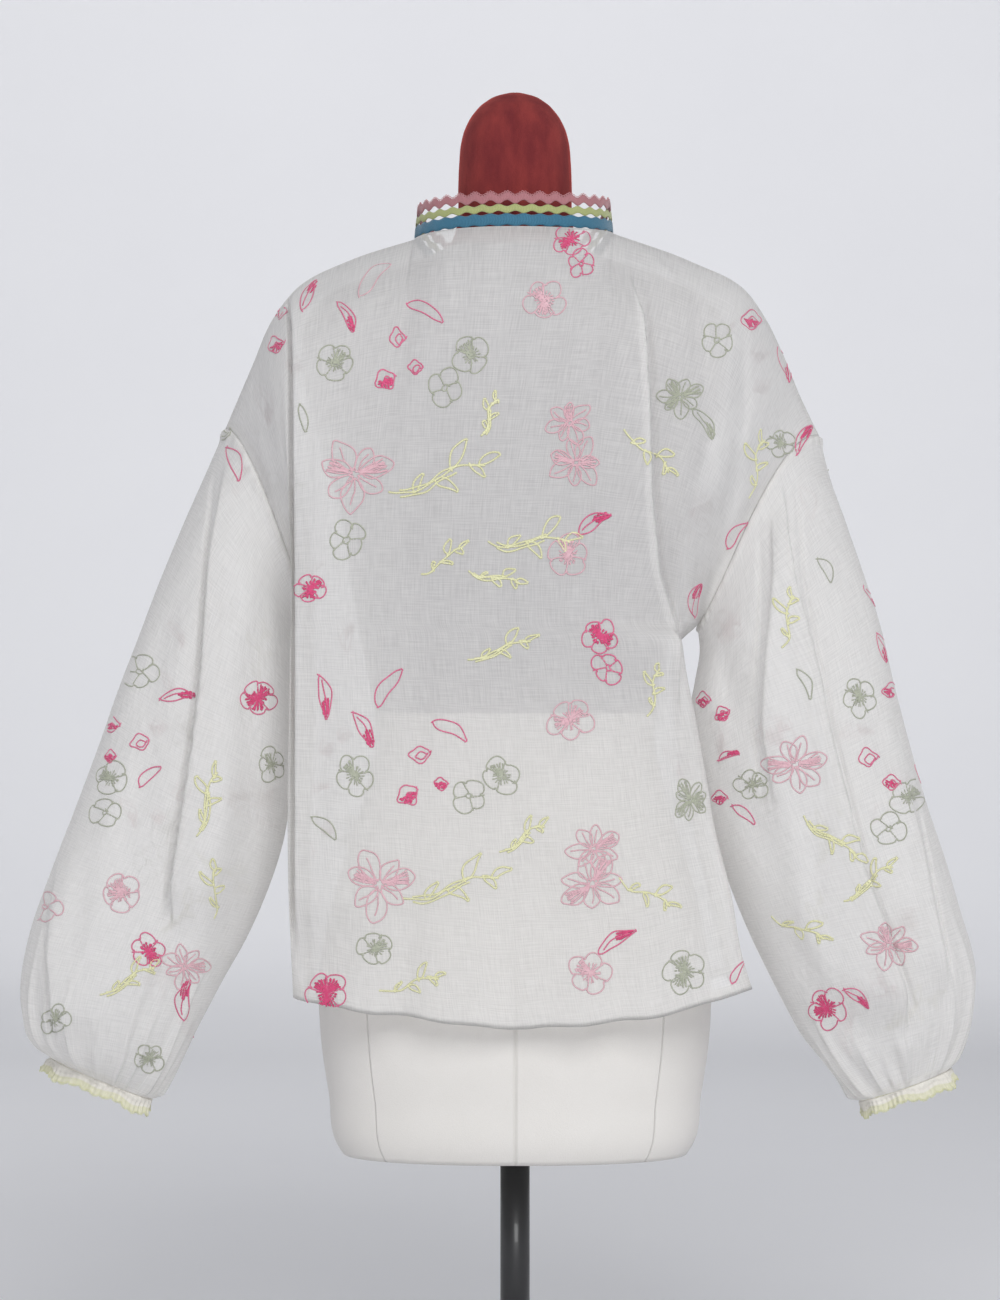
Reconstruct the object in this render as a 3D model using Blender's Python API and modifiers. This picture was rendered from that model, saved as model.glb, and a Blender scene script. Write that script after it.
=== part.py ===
"""An embroidered voile blouse with balloon sleeves, worn by a limbless dress form on a stand.

Metres, +Z up. The origin is the centre of the base plate's underside. The blouse's back faces -Y and
its left sleeve reaches to -X. Sizes in the tables are millimetres.
"""

import math
from typing import NamedTuple

import bpy
import numpy as np

MM = 0.001

# Driving dimensions of the cloth
CLOTH_WALL = 1.2
BAND_WALL = 1.6
CUFF_WALL = 2.0
SEAM_SETBACK = 0.42
ARMHOLE_SETBACK = 1.4
UNDERARM_SETBACK = 1.8

# How finely each piece is divided
SHOULDER_COLUMNS = 9
NECK_COLUMNS = 10
ARMHOLE_STEPS = 14
SLEEVE_ROWS = 15
FORM_SIDES = 28
POLE_SIDES = 24
BASE_SIDES = 40
BASE_EDGE_STEPS = 3
# How many points a body section is drawn with before its columns are read from it
OUTLINE_POINTS = 241

# Lengths below this one count as none
TINY = 1e-9
MERGE_DISTANCE = 0.00001

# The part of a panel's width, from its centre line to its edge, that the neckline takes
NECK_SHARE = 0.34


class Section(NamedTuple):
    """A level section of the body: its side seams, the corners that fold out past them, and its depth."""

    height: float
    left_corner: float
    left_seam: float
    right_seam: float
    right_corner: float
    back: float
    front: float


BODY = (
    Section(380, -183, -173, 189, 201, -131, 124),
    Section(420, -185, -175, 178, 188, -127, 120),
    Section(475, -187.5, -176, 165, 178, -121, 117),
    Section(530, -188.5, -176, 152, 164.5, -117, 116),
    Section(570, -188.5, -174, 145, 158, -115, 117),
    Section(620, -187.5, -172.5, 137, 149, -114, 119),
    Section(655, -187, -172, 134, 142, -113, 121),
    Section(685, -186.5, -172, 141, 138, -113, 122),
    Section(698, -186, -172, 155, 136, -113, 123),
    Section(712, -186, -172, 156, 135, -113, 124),
)
# The hem's height from the left seam (-1) by the centre (0) to the right seam (1)
HEM_AT = (-1, -0.6, -0.45, -0.3, 0, 0.3, 0.45, 0.6, 1)
HEM = {
    "back": (390, 388, 381, 375, 368, 374, 382, 393, 396),
    "front": (390, 384, 378, 374, 372, 374, 379, 388, 396),
}
# How far up each row below the armpits lies, from the hem
BODY_ROWS = (0, 0.12, 0.27, 0.42, 0.57, 0.71, 0.83, 0.93, 1)
BODY_ROUNDNESS = 2.6
# Where round the section its corners fold out, from the seam (0) to the centre line (1), and how widely
CORNER_AT = 0.55
CORNER_REACH = 0.24
CORNER_PASSES = 8


class Armhole(NamedTuple):
    """An armhole ring: its drop point, its underarm point, its half depth and its bow towards the neck."""

    drop_x: float
    drop_z: float
    under_x: float
    under_z: float
    reach: float
    bow: float


ARMHOLES = {
    "left": Armhole(-246.5, 863.5, -172, 712, 60, 16),
    "right": Armhole(259, 857, 155, 698, 41, 26),
}

# Each shoulder seam in x and z, from the drop point up to the neck point
SHOULDER_SEAMS = {
    "left": ((-246.5, 863.5), (-234, 893), (-221, 923), (-208, 953), (-183, 985), (-140, 1007), (-85, 1025)),
    "right": ((259, 857), (242, 893), (228, 927), (212, 959), (195, 982), (149, 1006), (83, 1030)),
}
NECK_HALF_WIDTH = 84
NECK_X = -1
NECK_DEPTH = {"back": -70, "front": 72}
NECK_CENTRE_HEIGHT = {"back": 1029, "front": 985}
NECK_SIDE_HEIGHT = {"left": 1025, "right": 1030}
# How sharply the neckline drops towards its centres
NECKLINE_POWER = 1.5

# How deep each panel stands across the shoulders, from its left edge (-1) to its right edge (1)
CHEST_AT = (-1, -0.9, -0.75, -0.5, -0.25, 0, 0.25, 0.5, 0.62, 0.75, 0.9, 1)
CHEST_DEPTH = {
    "back": (-60, -80, -97, -110, -115, -117, -116, -110, -100, -82, -57, -41),
    "front": (60, 82, 100, 118, 124, 122, 124, 116, 106, 90, 62, 41),
}
SHOULDER_ROUNDING = 105
NECK_ROUNDING = 150
UNDERARM_ROUNDING = 140
# How far out from the neck points, in neckline half widths, the neck's rounding reaches
NECK_BLEND = 1.6
# How closely a panel's armhole edges follow the armhole rings
ARMHOLE_POWER = 8
# How the folds die out towards the side seams, and over a panel's last rows
SEAM_FADE_POWER = 12
TOP_FADE = (0.8, 0.45, 0.15, 0)

SLIT_LENGTH = 130
SLIT_HALF_GAP = 3


class Fold(NamedTuple):
    """A fold down the cloth: the x and z of its crest, its reach to each side, its lift, and the lengths
    over which it rises at its head and dies at its foot. A foot of 0 leaves it open."""

    crest: tuple
    left: float
    right: float
    lift: float
    head: float
    foot: float


FOLDS = {
    "back": (
        Fold(
            ((-197, 990), (-196, 900), (-193, 800), (-188, 700), (-184, 600), (-184, 480)), 8, 55, 13, 70, 100
        ),
        Fold(((104, 1000), (110, 892), (113, 802), (119, 743), (134, 693), (147, 618)), 50, 9, 12, 70, 70),
        Fold(((-120, 600), (-126, 480), (-130, 380)), 26, 22, 5, 150, 0),
        Fold(((-52, 560), (-50, 470), (-46, 380)), 24, 26, 4, 150, 0),
        Fold(((38, 600), (44, 480), (50, 380)), 22, 24, 5, 170, 0),
        Fold(((112, 560), (120, 470), (128, 380)), 20, 22, 5, 140, 0),
    ),
    "front": (
        Fold(((-176, 960), (-178, 800), (-176, 640), (-172, 500)), 12, 50, 9, 90, 90),
        Fold(((168, 960), (150, 800), (140, 640), (142, 500)), 50, 12, 9, 90, 90),
        Fold(((-104, 720), (-112, 540), (-122, 380)), 24, 26, 7, 160, 0),
        Fold(((-40, 700), (-42, 540), (-46, 380)), 22, 24, 6, 170, 0),
        Fold(((46, 700), (44, 540), (46, 380)), 24, 22, 6, 170, 0),
        Fold(((100, 700), (112, 540), (126, 380)), 24, 24, 7, 160, 0),
    ),
    "left": (
        Fold(
            ((-250, 850), (-255, 760), (-261, 660), (-268, 598), (-280, 520), (-294, 430)), 10, 52, 12, 80, 80
        ),
        Fold(((-386, 520), (-392, 430), (-389, 350)), 9, 30, 8, 60, 60),
        Fold(((-232, 640), (-240, 540), (-262, 440), (-300, 360)), 20, 14, 6, 90, 90),
    ),
    "right": (
        Fold(((233, 830), (238, 738), (251, 668), (266, 594), (291, 493), (342, 350)), 48, 10, 12, 70, 70),
        Fold(((206, 800), (206, 700), (203, 620), (210, 530)), 14, 30, 7, 80, 80),
        Fold(((330, 560), (350, 470), (368, 400)), 24, 10, 6, 70, 70),
    ),
}


class Ring(NamedTuple):
    """A section across a sleeve: its outer and inner edge in x and z, and its half depth."""

    outer_x: float
    outer_z: float
    inner_x: float
    inner_z: float
    reach: float


SLEEVES = {
    "left": (
        Ring(-246.5, 863.5, -172, 712, 60),
        Ring(-263.5, 825, -188, 700, 62),
        Ring(-282, 783, -189, 663, 64),
        Ring(-302, 734, -187, 624, 66),
        Ring(-320.5, 685, -188, 589, 68),
        Ring(-337, 642, -191, 553, 70),
        Ring(-353, 596, -197, 514, 72),
        Ring(-374, 540, -210, 473, 74),
        Ring(-395, 485, -228, 432, 74),
        Ring(-410.5, 438, -248, 396, 71),
        Ring(-418, 392, -266, 361, 64),
        Ring(-414, 358, -283, 330, 52),
        Ring(-405, 341, -297, 309, 38),
        Ring(-394, 331, -308, 295.5, 22),
    ),
    "right": (
        Ring(259, 857, 155, 698, 41),
        Ring(268, 822, 157, 674, 47),
        Ring(280.5, 787, 153, 650, 53),
        Ring(295, 744.5, 149, 624, 58),
        Ring(310, 698, 152, 594, 62),
        Ring(321, 651, 159, 560, 65),
        Ring(334, 600, 168, 521, 68),
        Ring(348.5, 549, 181, 481, 70),
        Ring(365.5, 498, 197, 441, 70),
        Ring(378, 455.5, 214, 405, 68),
        Ring(388.5, 421.5, 229, 375, 63),
        Ring(392, 396, 243, 349, 55),
        Ring(388, 368, 261, 326, 46),
        Ring(380, 342, 279, 307, 34),
        Ring(370, 322, 293, 294.5, 26),
    ),
}
SLEEVE_ROUNDNESS = 2.3
# How many rings down a sleeve its armhole's bow dies away
BOW_RINGS = 4
# How many rings from each end a sleeve takes to become squarer
MIDDLE_RINGS = 2
# How narrowly the underarm setback keeps to the underarm
UNDERARM_POWER = 4
GATHERS = 7
GATHER_LIFT = 3.5
GATHER_REACH = 3.5
CUFF_HEIGHT = 11

# The collar's three bands: height of the lower and the upper edge above the neckline
COLLAR_BANDS = {
    "collar_blue": (0, 10),
    "collar_green": (10, 19.5),
    "collar_pink": (19.5, 30),
}
COLLAR_LEAN = 0.1
COLLAR_HALF_GAP = 4
COLLAR_CLEARANCE = 0.95
BAND_SETBACK = 0.22


class Level(NamedTuple):
    """A level section of the form: its height, half width, back depth and front depth."""

    height: float
    half_width: float
    back: float
    front: float


TORSO = (
    Level(250, 146, 88, 80),
    Level(256, 150, 91, 84),
    Level(300, 158, 98, 88),
    Level(350, 165, 105, 90),
    Level(400, 166, 107, 92),
    Level(450, 158, 103, 92),
    Level(500, 145, 94, 92),
    Level(560, 126, 80, 88),
    Level(617, 118, 71, 84),
    Level(650, 124, 73, 90),
    Level(700, 134, 81, 104),
    Level(740, 140, 87, 113),
    Level(780, 146, 93, 115),
    Level(820, 156, 97, 109),
    Level(860, 168, 98, 97),
    Level(900, 178, 94, 84),
    Level(935, 181, 85, 73),
    Level(960, 176, 72, 62),
    Level(979, 158, 56, 52),
    Level(993, 128, 46, 46),
    Level(1003, 96, 44, 44),
    Level(1012, 70, 46, 46),
    Level(1018, 58, 48, 48),
)
NECK_CAP = (
    Level(1018.3, 56, 48, 48),
    Level(1030, 51, 47, 47),
    Level(1048, 48.5, 46.5, 46.5),
    Level(1068, 48.4, 46.5, 46.5),
    Level(1090, 47.5, 46, 46),
    Level(1106, 46, 45, 45),
    Level(1120, 42, 41.5, 41.5),
    Level(1132, 35, 35, 35),
    Level(1141, 26, 26, 26),
    Level(1147, 15, 15, 15),
    Level(1149.5, 6, 6, 6),
)
FORM_ROUNDNESS = 2.3
POLE_RADIUS = 12.5
BASE_RADIUS = 155
BASE_HEIGHT = 20
BASE_EDGE = 6
FORM_GAP = 0.3

VOILE = (0.87, 0.86, 0.85)
BLUE_THREAD = (0.08, 0.27, 0.38)
GREEN_THREAD = (0.55, 0.62, 0.25)
PINK_THREAD = (0.6, 0.25, 0.28)
JERSEY = (0.2, 0.17, 0.18)
VELVET = (0.2, 0.03, 0.035)
LACQUER = (0.05, 0.05, 0.055)
CLOTH_ROUGHNESS = 0.9
BRAID_ROUGHNESS = 0.8
LACQUER_ROUGHNESS = 0.4


def smooth(at, xs, ys):
    """Reads, at the places given, a smooth curve through the points xs, ys, where xs rises."""
    xs = np.asarray(xs, float)
    ys = np.asarray(ys, float)
    slopes = np.gradient(ys, xs)
    low = np.clip(np.searchsorted(xs, at) - 1, 0, len(xs) - 2)
    span = xs[low + 1] - xs[low]
    t = np.clip((at - xs[low]) / span, 0, 1)
    start = (2 * t**3 - 3 * t**2 + 1) * ys[low] + (t**3 - 2 * t**2 + t) * span * slopes[low]
    end = (3 * t**2 - 2 * t**3) * ys[low + 1] + (t**3 - t**2) * span * slopes[low + 1]
    return start + end


def ease(t):
    """0 below 0, 1 above 1, and a soft step between."""
    t = np.clip(t, 0, 1)
    return t * t * (3 - 2 * t)


def quarter(t):
    """The rise of a quarter of an ellipse: steep at 0, level from 1 on."""
    return np.sqrt(1 - (1 - np.clip(t, 0, 1)) ** 2)


def column(table, name):
    return [getattr(row, name) for row in table]


def power(value, roundness):
    """A cosine or sine turned into that of a superellipse."""
    return np.sign(value) * np.abs(value) ** (2 / roundness)


def columns_of():
    """The places of a panel's columns across its width, -1 to 1, with one at each neck point."""
    shoulder = np.linspace(-1, -NECK_SHARE, SHOULDER_COLUMNS + 1)
    neck = np.linspace(-NECK_SHARE, NECK_SHARE, NECK_COLUMNS + 1)
    return np.concatenate([shoulder, neck[1:], -shoulder[::-1][1:]])


def neckline(angle, face):
    """The neckline ring at an angle, 0 at the right neck point and pi at the left one."""
    left, right = NECK_SIDE_HEIGHT["left"], NECK_SIDE_HEIGHT["right"]
    side = left + (right - left) * (1 + np.cos(angle)) / 2
    drop = NECK_CENTRE_HEIGHT[face] - side
    return np.stack(
        [
            NECK_X + NECK_HALF_WIDTH * np.cos(angle),
            NECK_DEPTH[face] * np.sin(angle),
            side + drop * np.abs(np.sin(angle)) ** NECKLINE_POWER,
        ],
        axis=-1,
    )


def level_outline(rise, places, face):
    """One row of a panel below the armpits. rise is 0 at the hem and 1 at the armpits."""
    heights = column(BODY, "height")
    hem = smooth(places, HEM_AT, HEM[face])
    pits = np.interp(places, (-1, 1), (ARMHOLES["left"].under_z, ARMHOLES["right"].under_z))
    z = hem + (pits - hem) * rise
    z_left, z_centre, z_right = z[0], z[len(z) // 2], z[-1]
    left = smooth(z_left, heights, column(BODY, "left_seam"))
    right = smooth(z_right, heights, column(BODY, "right_seam"))
    depth = smooth(z_centre, heights, column(BODY, face))
    angle = np.linspace(math.pi, 0, OUTLINE_POINTS)
    x = (left + right) / 2 + (right - left) / 2 * power(np.cos(angle), BODY_ROUNDNESS)
    y = depth * power(np.sin(angle), BODY_ROUNDNESS)
    for name, side, z_side in (("left_corner", -1, z_left), ("right_corner", 1, z_right)):
        corner = math.pi / 2 * (1 - side * (1 - CORNER_AT))
        bump = side * np.exp(-(((angle - corner) / (math.pi / 2 * CORNER_REACH)) ** 2))
        reach = side * smooth(z_side, heights, column(BODY, name))
        near = np.abs(angle - corner) < math.pi / 2 * CORNER_REACH
        # Pushes the corner out until its furthest point stands where the table says
        for _ in range(CORNER_PASSES):
            x = x + bump * (reach - np.max(side * x[near]))
    walked = np.concatenate([[0], np.cumsum(np.hypot(np.diff(x), np.diff(y)))])
    share = 2 * walked / walked[-1] - 1
    return np.stack([np.interp(places, share, x), np.interp(places, share, y), z], axis=-1)


def top_edge(places, face):
    """A panel's upper edge: a shoulder seam, the neckline and the other shoulder seam."""
    edge = np.zeros((len(places), 3))
    for i, place in enumerate(places):
        if abs(place) <= NECK_SHARE + TINY:
            edge[i] = neckline(math.pi / 2 * (1 - place / NECK_SHARE), face)
            continue
        seam = np.array(SHOULDER_SEAMS["left" if place < 0 else "right"], float)
        walked = np.concatenate([[0], np.cumsum(np.hypot(*np.diff(seam, axis=0).T))])
        along = (1 - abs(place)) / (1 - NECK_SHARE) * walked[-1]
        edge[i] = (smooth(along, walked, seam[:, 0]), 0, smooth(along, walked, seam[:, 1]))
    return edge


def fold_lift(x, z, folds):
    """How far the folds lift the cloth at x, z."""
    lift = np.zeros_like(x)
    for fold in folds:
        crest = np.array(fold.crest[::-1], float)
        offset = x - np.interp(z, crest[:, 1], crest[:, 0])
        reach = np.where(offset < 0, fold.left, fold.right)
        head = ease((crest[-1, 1] - z) / fold.head)
        foot = ease((z - crest[0, 1]) / fold.foot) if fold.foot else 1.0
        lift += fold.lift * np.exp(-((offset / reach) ** 2)) * head * foot
    return lift


def bow(side, angle):
    """How an armhole bows towards the neck, most in its upper half. The angle is 0 at the drop point."""
    ring = ARMHOLES[side]
    along = np.array([ring.drop_x - ring.under_x, 0, ring.drop_z - ring.under_z])
    across = np.cross(along, (0, 1, 0)) / np.linalg.norm(along)
    share = np.abs(np.sin(angle)) * (1 + np.cos(angle)) / 2
    return ring.bow * np.sign(across[2]) * np.multiply.outer(share, across)


def panel_rows(places, face):
    """The whole grid of a panel's points, row by row from the hem to the top edge."""
    below = [level_outline(rise, places, face) for rise in BODY_ROWS]
    pit = below[-1]
    top = top_edge(places, face)
    chest = smooth(places, CHEST_AT, CHEST_DEPTH[face])
    # 1 at the armholes, where a panel must end on the ring, and 0 over most of its width
    edge = np.abs(places) ** ARMHOLE_POWER
    length = np.hypot(top[:, 0] - pit[:, 0], top[:, 2] - pit[:, 2])
    near_neck = ease(NECK_BLEND - np.abs(places) / NECK_SHARE)
    rounding = SHOULDER_ROUNDING + (NECK_ROUNDING - SHOULDER_ROUNDING) * near_neck
    rounding = rounding + (length / 2 - rounding) * edge
    lower_rounding = UNDERARM_ROUNDING + (length / 2 - UNDERARM_ROUNDING) * edge
    above = []
    for step in range(1, ARMHOLE_STEPS + 1):
        v = (1 - math.cos(math.pi * step / ARMHOLE_STEPS)) / 2
        point = pit + (top - pit) * v
        # Away from the armholes the cloth starts straight up, and only then spreads to the shoulders
        spread = v * v * (2 - v) * (1 - edge) + v * edge
        point[:, 0] = pit[:, 0] + (top[:, 0] - pit[:, 0]) * spread
        turn = math.pi * (1 - step / ARMHOLE_STEPS)
        for side, columns in (("left", places < 0), ("right", places > 0)):
            point[columns] += edge[columns, None] * bow(side, turn)
        rise = v * length / lower_rounding
        blend = ease(rise) * (1 - edge) + quarter(rise) * edge
        depth = pit[:, 1] + (chest - pit[:, 1]) * blend
        point[:, 1] = top[:, 1] + (depth - top[:, 1]) * quarter((1 - v) * length / rounding)
        above.append(point)
    return np.array(below + above)


def set_back(grid, amount, side):
    """Draws one edge of a grid in from its seam, along the cloth. side names the edge."""
    edge, inner = {
        "first_column": (grid[:, 0], grid[:, 1]),
        "last_column": (grid[:, -1], grid[:, -2]),
        "first_row": (grid[0], grid[1]),
        "last_row": (grid[-1], grid[-2]),
    }[side]
    step = inner - edge
    length = np.linalg.norm(step, axis=-1, keepdims=True)
    amount = np.broadcast_to(np.asarray(amount, float), edge.shape[:1])[:, None]
    edge += step / np.maximum(length, TINY) * np.minimum(amount, length / 2)


def folded_panel(places, face):
    """A panel's points with its folds in, drawn back from its seams."""
    grid = panel_rows(places, face)
    outward = -1 if face == "back" else 1
    seam_fade = 1 - np.abs(places) ** SEAM_FADE_POWER
    top_fade = np.ones(len(grid))
    top_fade[-len(TOP_FADE) :] = TOP_FADE
    lift = fold_lift(grid[:, :, 0], grid[:, :, 2], FOLDS[face])
    grid[:, :, 1] += outward * lift * seam_fade * top_fade[:, None]
    set_back(grid, SEAM_SETBACK, "first_column")
    set_back(grid, SEAM_SETBACK, "last_column")
    set_back(grid, SEAM_SETBACK, "last_row")
    return grid


def material(name, colour, roughness=CLOTH_ROUGHNESS):
    made = bpy.data.materials.new(name)
    made.use_nodes = True
    shader = made.node_tree.nodes["Principled BSDF"]
    shader.inputs["Base Color"].default_value = (*colour, 1)
    shader.inputs["Roughness"].default_value = roughness
    shader.inputs["Metallic"].default_value = 0
    return made


def add_object(name, points, faces, finish, wall=None):
    """Makes a mesh object from points in millimetres. A sheet is given its wall by Solidify."""
    mesh = bpy.data.meshes.new(name)
    mesh.from_pydata((np.asarray(points) * MM).tolist(), [], faces)
    mesh.materials.append(finish)
    mesh.shade_smooth()
    made = bpy.data.objects.new(name, mesh)
    blouse.objects.link(made)
    if wall is not None:
        solidify = made.modifiers.new("Wall", "SOLIDIFY")
        solidify.thickness = wall * MM
        solidify.offset = 0
    return made


def grid_faces(rows, columns, closed=False):
    """The faces of a grid of points, rows by columns. A closed one joins its last column to its first."""
    faces = []
    for row in range(rows - 1):
        for col in range(columns if closed else columns - 1):
            after = (col + 1) % columns
            here, above = row * columns, (row + 1) * columns
            faces.append((here + col, here + after, above + after, above + col))
    return faces


def add_back(finish):
    grid = folded_panel(columns_of(), "back")
    rows, columns = grid.shape[:2]
    add_object("back", grid.reshape(-1, 3), grid_faces(rows, columns), finish, CLOTH_WALL)


def add_front(finish):
    """The front, with a slit down its centre line from the neckline."""
    grid = folded_panel(columns_of(), "front")
    rows, columns = grid.shape[:2]
    centre = columns // 2
    foot = NECK_CENTRE_HEIGHT["front"] - SLIT_LENGTH
    slit_rows = [row for row in range(rows) if grid[row, centre, 2] > foot]
    right_lip = grid[slit_rows, centre].copy()
    for i, row in enumerate(slit_rows):
        gap = SLIT_HALF_GAP * (i + 1) / len(slit_rows)
        grid[row, centre, 0] -= gap
        right_lip[i, 0] += gap
    points = np.concatenate([grid.reshape(-1, 3), right_lip])
    lip_index = {row * columns + centre: rows * columns + i for i, row in enumerate(slit_rows)}
    faces = []
    for face in grid_faces(rows, columns):
        right_of_centre = face[1] % columns > centre
        faces.append(tuple(lip_index.get(i, i) for i in face) if right_of_centre else face)
    add_object("front", points, faces, finish, CLOTH_WALL)


def sleeve_grid(side):
    """A sleeve's points, row by row from the armhole to the cuff, round from the outer edge."""
    rings = SLEEVES[side]
    index = np.arange(len(rings))
    at = np.linspace(0, len(rings) - 1, SLEEVE_ROWS + 1)
    angle = np.arange(2 * ARMHOLE_STEPS) * math.pi / ARMHOLE_STEPS
    outer = np.stack([smooth(at, index, column(rings, n)) for n in ("outer_x", "outer_z")], axis=-1)
    inner = np.stack([smooth(at, index, column(rings, n)) for n in ("inner_x", "inner_z")], axis=-1)
    reach = smooth(at, index, column(rings, "reach"))
    grid = np.zeros((len(at), len(angle), 3))
    for row, ring_at in enumerate(at):
        from_end = len(rings) - 1 - ring_at
        # Round at the armhole and at the cuff, a little squarer between
        middle = ease(ring_at / MIDDLE_RINGS) * ease(from_end / MIDDLE_RINGS)
        roundness = 2 + (SLEEVE_ROUNDNESS - 2) * middle
        across = power(np.cos(angle), roundness)[:, None]
        centre = (outer[row] + inner[row]) / 2
        grid[row][:, [0, 2]] = centre + (outer[row] - inner[row]) / 2 * across
        grid[row][:, 1] = -reach[row] * power(np.sin(angle), roundness)
        near_armhole = 1 - ease(ring_at / BOW_RINGS)
        grid[row] += near_armhole * bow(side, angle)
        lift = fold_lift(grid[row][:, 0], grid[row][:, 2], FOLDS[side]) * middle
        grid[row][:, 1] -= lift * np.sin(angle)
        gather = ease(from_end / GATHER_REACH * 2) * (1 - ease(from_end / GATHER_REACH))
        swell = 1 + GATHER_LIFT * gather * np.cos(GATHERS * angle) / max(reach[row], 1)
        grid[row][:, [0, 2]] = centre + (grid[row][:, [0, 2]] - centre) * swell[:, None]
        grid[row][:, 1] *= swell
    return grid


def add_sleeve(side, finish):
    grid = sleeve_grid(side)
    rows, columns = grid.shape[:2]
    angle = np.arange(columns) * math.pi / ARMHOLE_STEPS
    under = ((1 - np.cos(angle)) / 2) ** UNDERARM_POWER
    set_back(grid, ARMHOLE_SETBACK + UNDERARM_SETBACK * under, "first_row")
    set_back(grid, SEAM_SETBACK, "last_row")
    add_object(f"sleeve_{side}", grid.reshape(-1, 3), grid_faces(rows, columns, True), finish, CLOTH_WALL)


def add_cuff(side, finish):
    """The narrow band that holds a sleeve's gathers, standing on the sleeve's last ring."""
    ring = SLEEVES[side][-1]
    across = np.array([ring.outer_x - ring.inner_x, 0, ring.outer_z - ring.inner_z]) / 2
    centre = np.array([ring.outer_x + ring.inner_x, 0, ring.outer_z + ring.inner_z]) / 2
    down = np.cross(across, (0, 1, 0))
    down *= -np.sign(down[2]) / np.linalg.norm(down)
    columns = 2 * ARMHOLE_STEPS
    angle = np.arange(columns) * math.pi / ARMHOLE_STEPS
    edge = centre + across * np.cos(angle)[:, None] + np.array([0, -ring.reach, 0]) * np.sin(angle)[:, None]
    start = 2 * SEAM_SETBACK
    points = np.concatenate([edge + down * start, edge + down * (start + CUFF_HEIGHT)])
    add_object(f"cuff_{side}", points, grid_faces(2, columns, True), finish, CUFF_WALL)


def add_collar_band(name, finish):
    """One band of the collar, open at the centre front."""
    low, high = COLLAR_BANDS[name]
    # Once round from the centre front, by the back, with the panels' own steps
    turn = np.linspace(math.pi / 2, -3 * math.pi / 2, 2 * NECK_COLUMNS + 1)
    rows = []
    lifted = CLOTH_WALL / 2 + COLLAR_CLEARANCE
    for height in (low + BAND_SETBACK + lifted, high + lifted - BAND_SETBACK):
        front = neckline(turn, "front")
        back = neckline(-turn, "back")
        edge = np.where((np.sin(turn) > TINY)[:, None], front, back)
        scale = 1 - COLLAR_LEAN * height / NECK_HALF_WIDTH
        edge[:, 0] = NECK_X + (edge[:, 0] - NECK_X) * scale
        edge[:, 1] *= scale
        edge[:, 2] += height
        rows.append(edge)
    grid = np.array(rows)
    set_back(grid, COLLAR_HALF_GAP, "first_column")
    set_back(grid, COLLAR_HALF_GAP, "last_column")
    add_object(name, grid.reshape(-1, 3), grid_faces(2, len(turn)), finish, BAND_WALL)


def add_form(name, levels, finish):
    """A closed form lofted through level sections, with a flat cap at each end."""
    angle = np.arange(FORM_SIDES) * 2 * math.pi / FORM_SIDES
    rows = []
    for level in levels:
        depth = np.where(np.sin(angle) < 0, level.back, level.front)
        x = level.half_width * power(np.cos(angle), FORM_ROUNDNESS)
        y = depth * power(np.sin(angle), FORM_ROUNDNESS)
        rows.append(np.stack([x, y, np.full_like(x, level.height)], axis=-1))
    faces = grid_faces(len(levels), FORM_SIDES, True)
    last = (len(levels) - 1) * FORM_SIDES
    faces.append(tuple(reversed(range(FORM_SIDES))))
    faces.append(tuple(range(last, last + FORM_SIDES)))
    add_object(name, np.concatenate(rows), faces, finish)


def add_pole(finish):
    low = BASE_HEIGHT + FORM_GAP
    high = TORSO[0].height - FORM_GAP
    bpy.ops.mesh.primitive_cylinder_add(
        vertices=POLE_SIDES,
        radius=POLE_RADIUS * MM,
        depth=(high - low) * MM,
        location=(0, 0, (low + high) / 2 * MM),
    )
    pole = bpy.context.object
    pole.name = "form_pole"
    pole.data.materials.append(finish)
    move_to_collection(pole)


def add_base(finish):
    """The round base plate, turned from a profile that runs from its top centre to its underside."""
    profile = [(0, BASE_HEIGHT), (BASE_RADIUS - BASE_EDGE, BASE_HEIGHT)]
    for step in range(1, BASE_EDGE_STEPS + 1):
        turn = math.pi / 2 * step / BASE_EDGE_STEPS
        profile.append(
            (
                BASE_RADIUS - BASE_EDGE * (1 - math.sin(turn)),
                BASE_HEIGHT - BASE_EDGE * (1 - math.cos(turn)),
            )
        )
    profile += [(BASE_RADIUS, 0), (0, 0)]
    points = [(x, 0, z) for x, z in profile]
    mesh = bpy.data.meshes.new("form_base")
    edges = [(i, i + 1) for i in range(len(points) - 1)]
    mesh.from_pydata((np.array(points) * MM).tolist(), edges, [])
    mesh.materials.append(finish)
    base = bpy.data.objects.new("form_base", mesh)
    blouse.objects.link(base)
    turned = base.modifiers.new("Turned", "SCREW")
    turned.steps = BASE_SIDES
    turned.render_steps = BASE_SIDES
    turned.use_merge_vertices = True
    turned.merge_threshold = MERGE_DISTANCE


def move_to_collection(made):
    for collection in list(made.users_collection):
        collection.objects.unlink(made)
    blouse.objects.link(made)


for old in list(bpy.data.objects):
    bpy.data.objects.remove(old)
blouse = bpy.data.collections.new("Embroidered blouse on dress form")
bpy.context.scene.collection.children.link(blouse)

voile = material("Cotton voile", VOILE)
add_back(voile)
add_front(voile)
for arm in ("left", "right"):
    add_sleeve(arm, voile)
    add_cuff(arm, material(f"Gathered cuff {arm}", VOILE))
for band, thread in zip(COLLAR_BANDS, (BLUE_THREAD, GREEN_THREAD, PINK_THREAD)):
    add_collar_band(band, material(band, thread, BRAID_ROUGHNESS))
add_form("form_torso", TORSO, material("Jersey cover", JERSEY))
add_form("form_neck", NECK_CAP, material("Velvet cap", VELVET))
add_pole(material("Lacquered pole", LACQUER, LACQUER_ROUGHNESS))
add_base(material("Lacquered base", LACQUER, LACQUER_ROUGHNESS))
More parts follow.
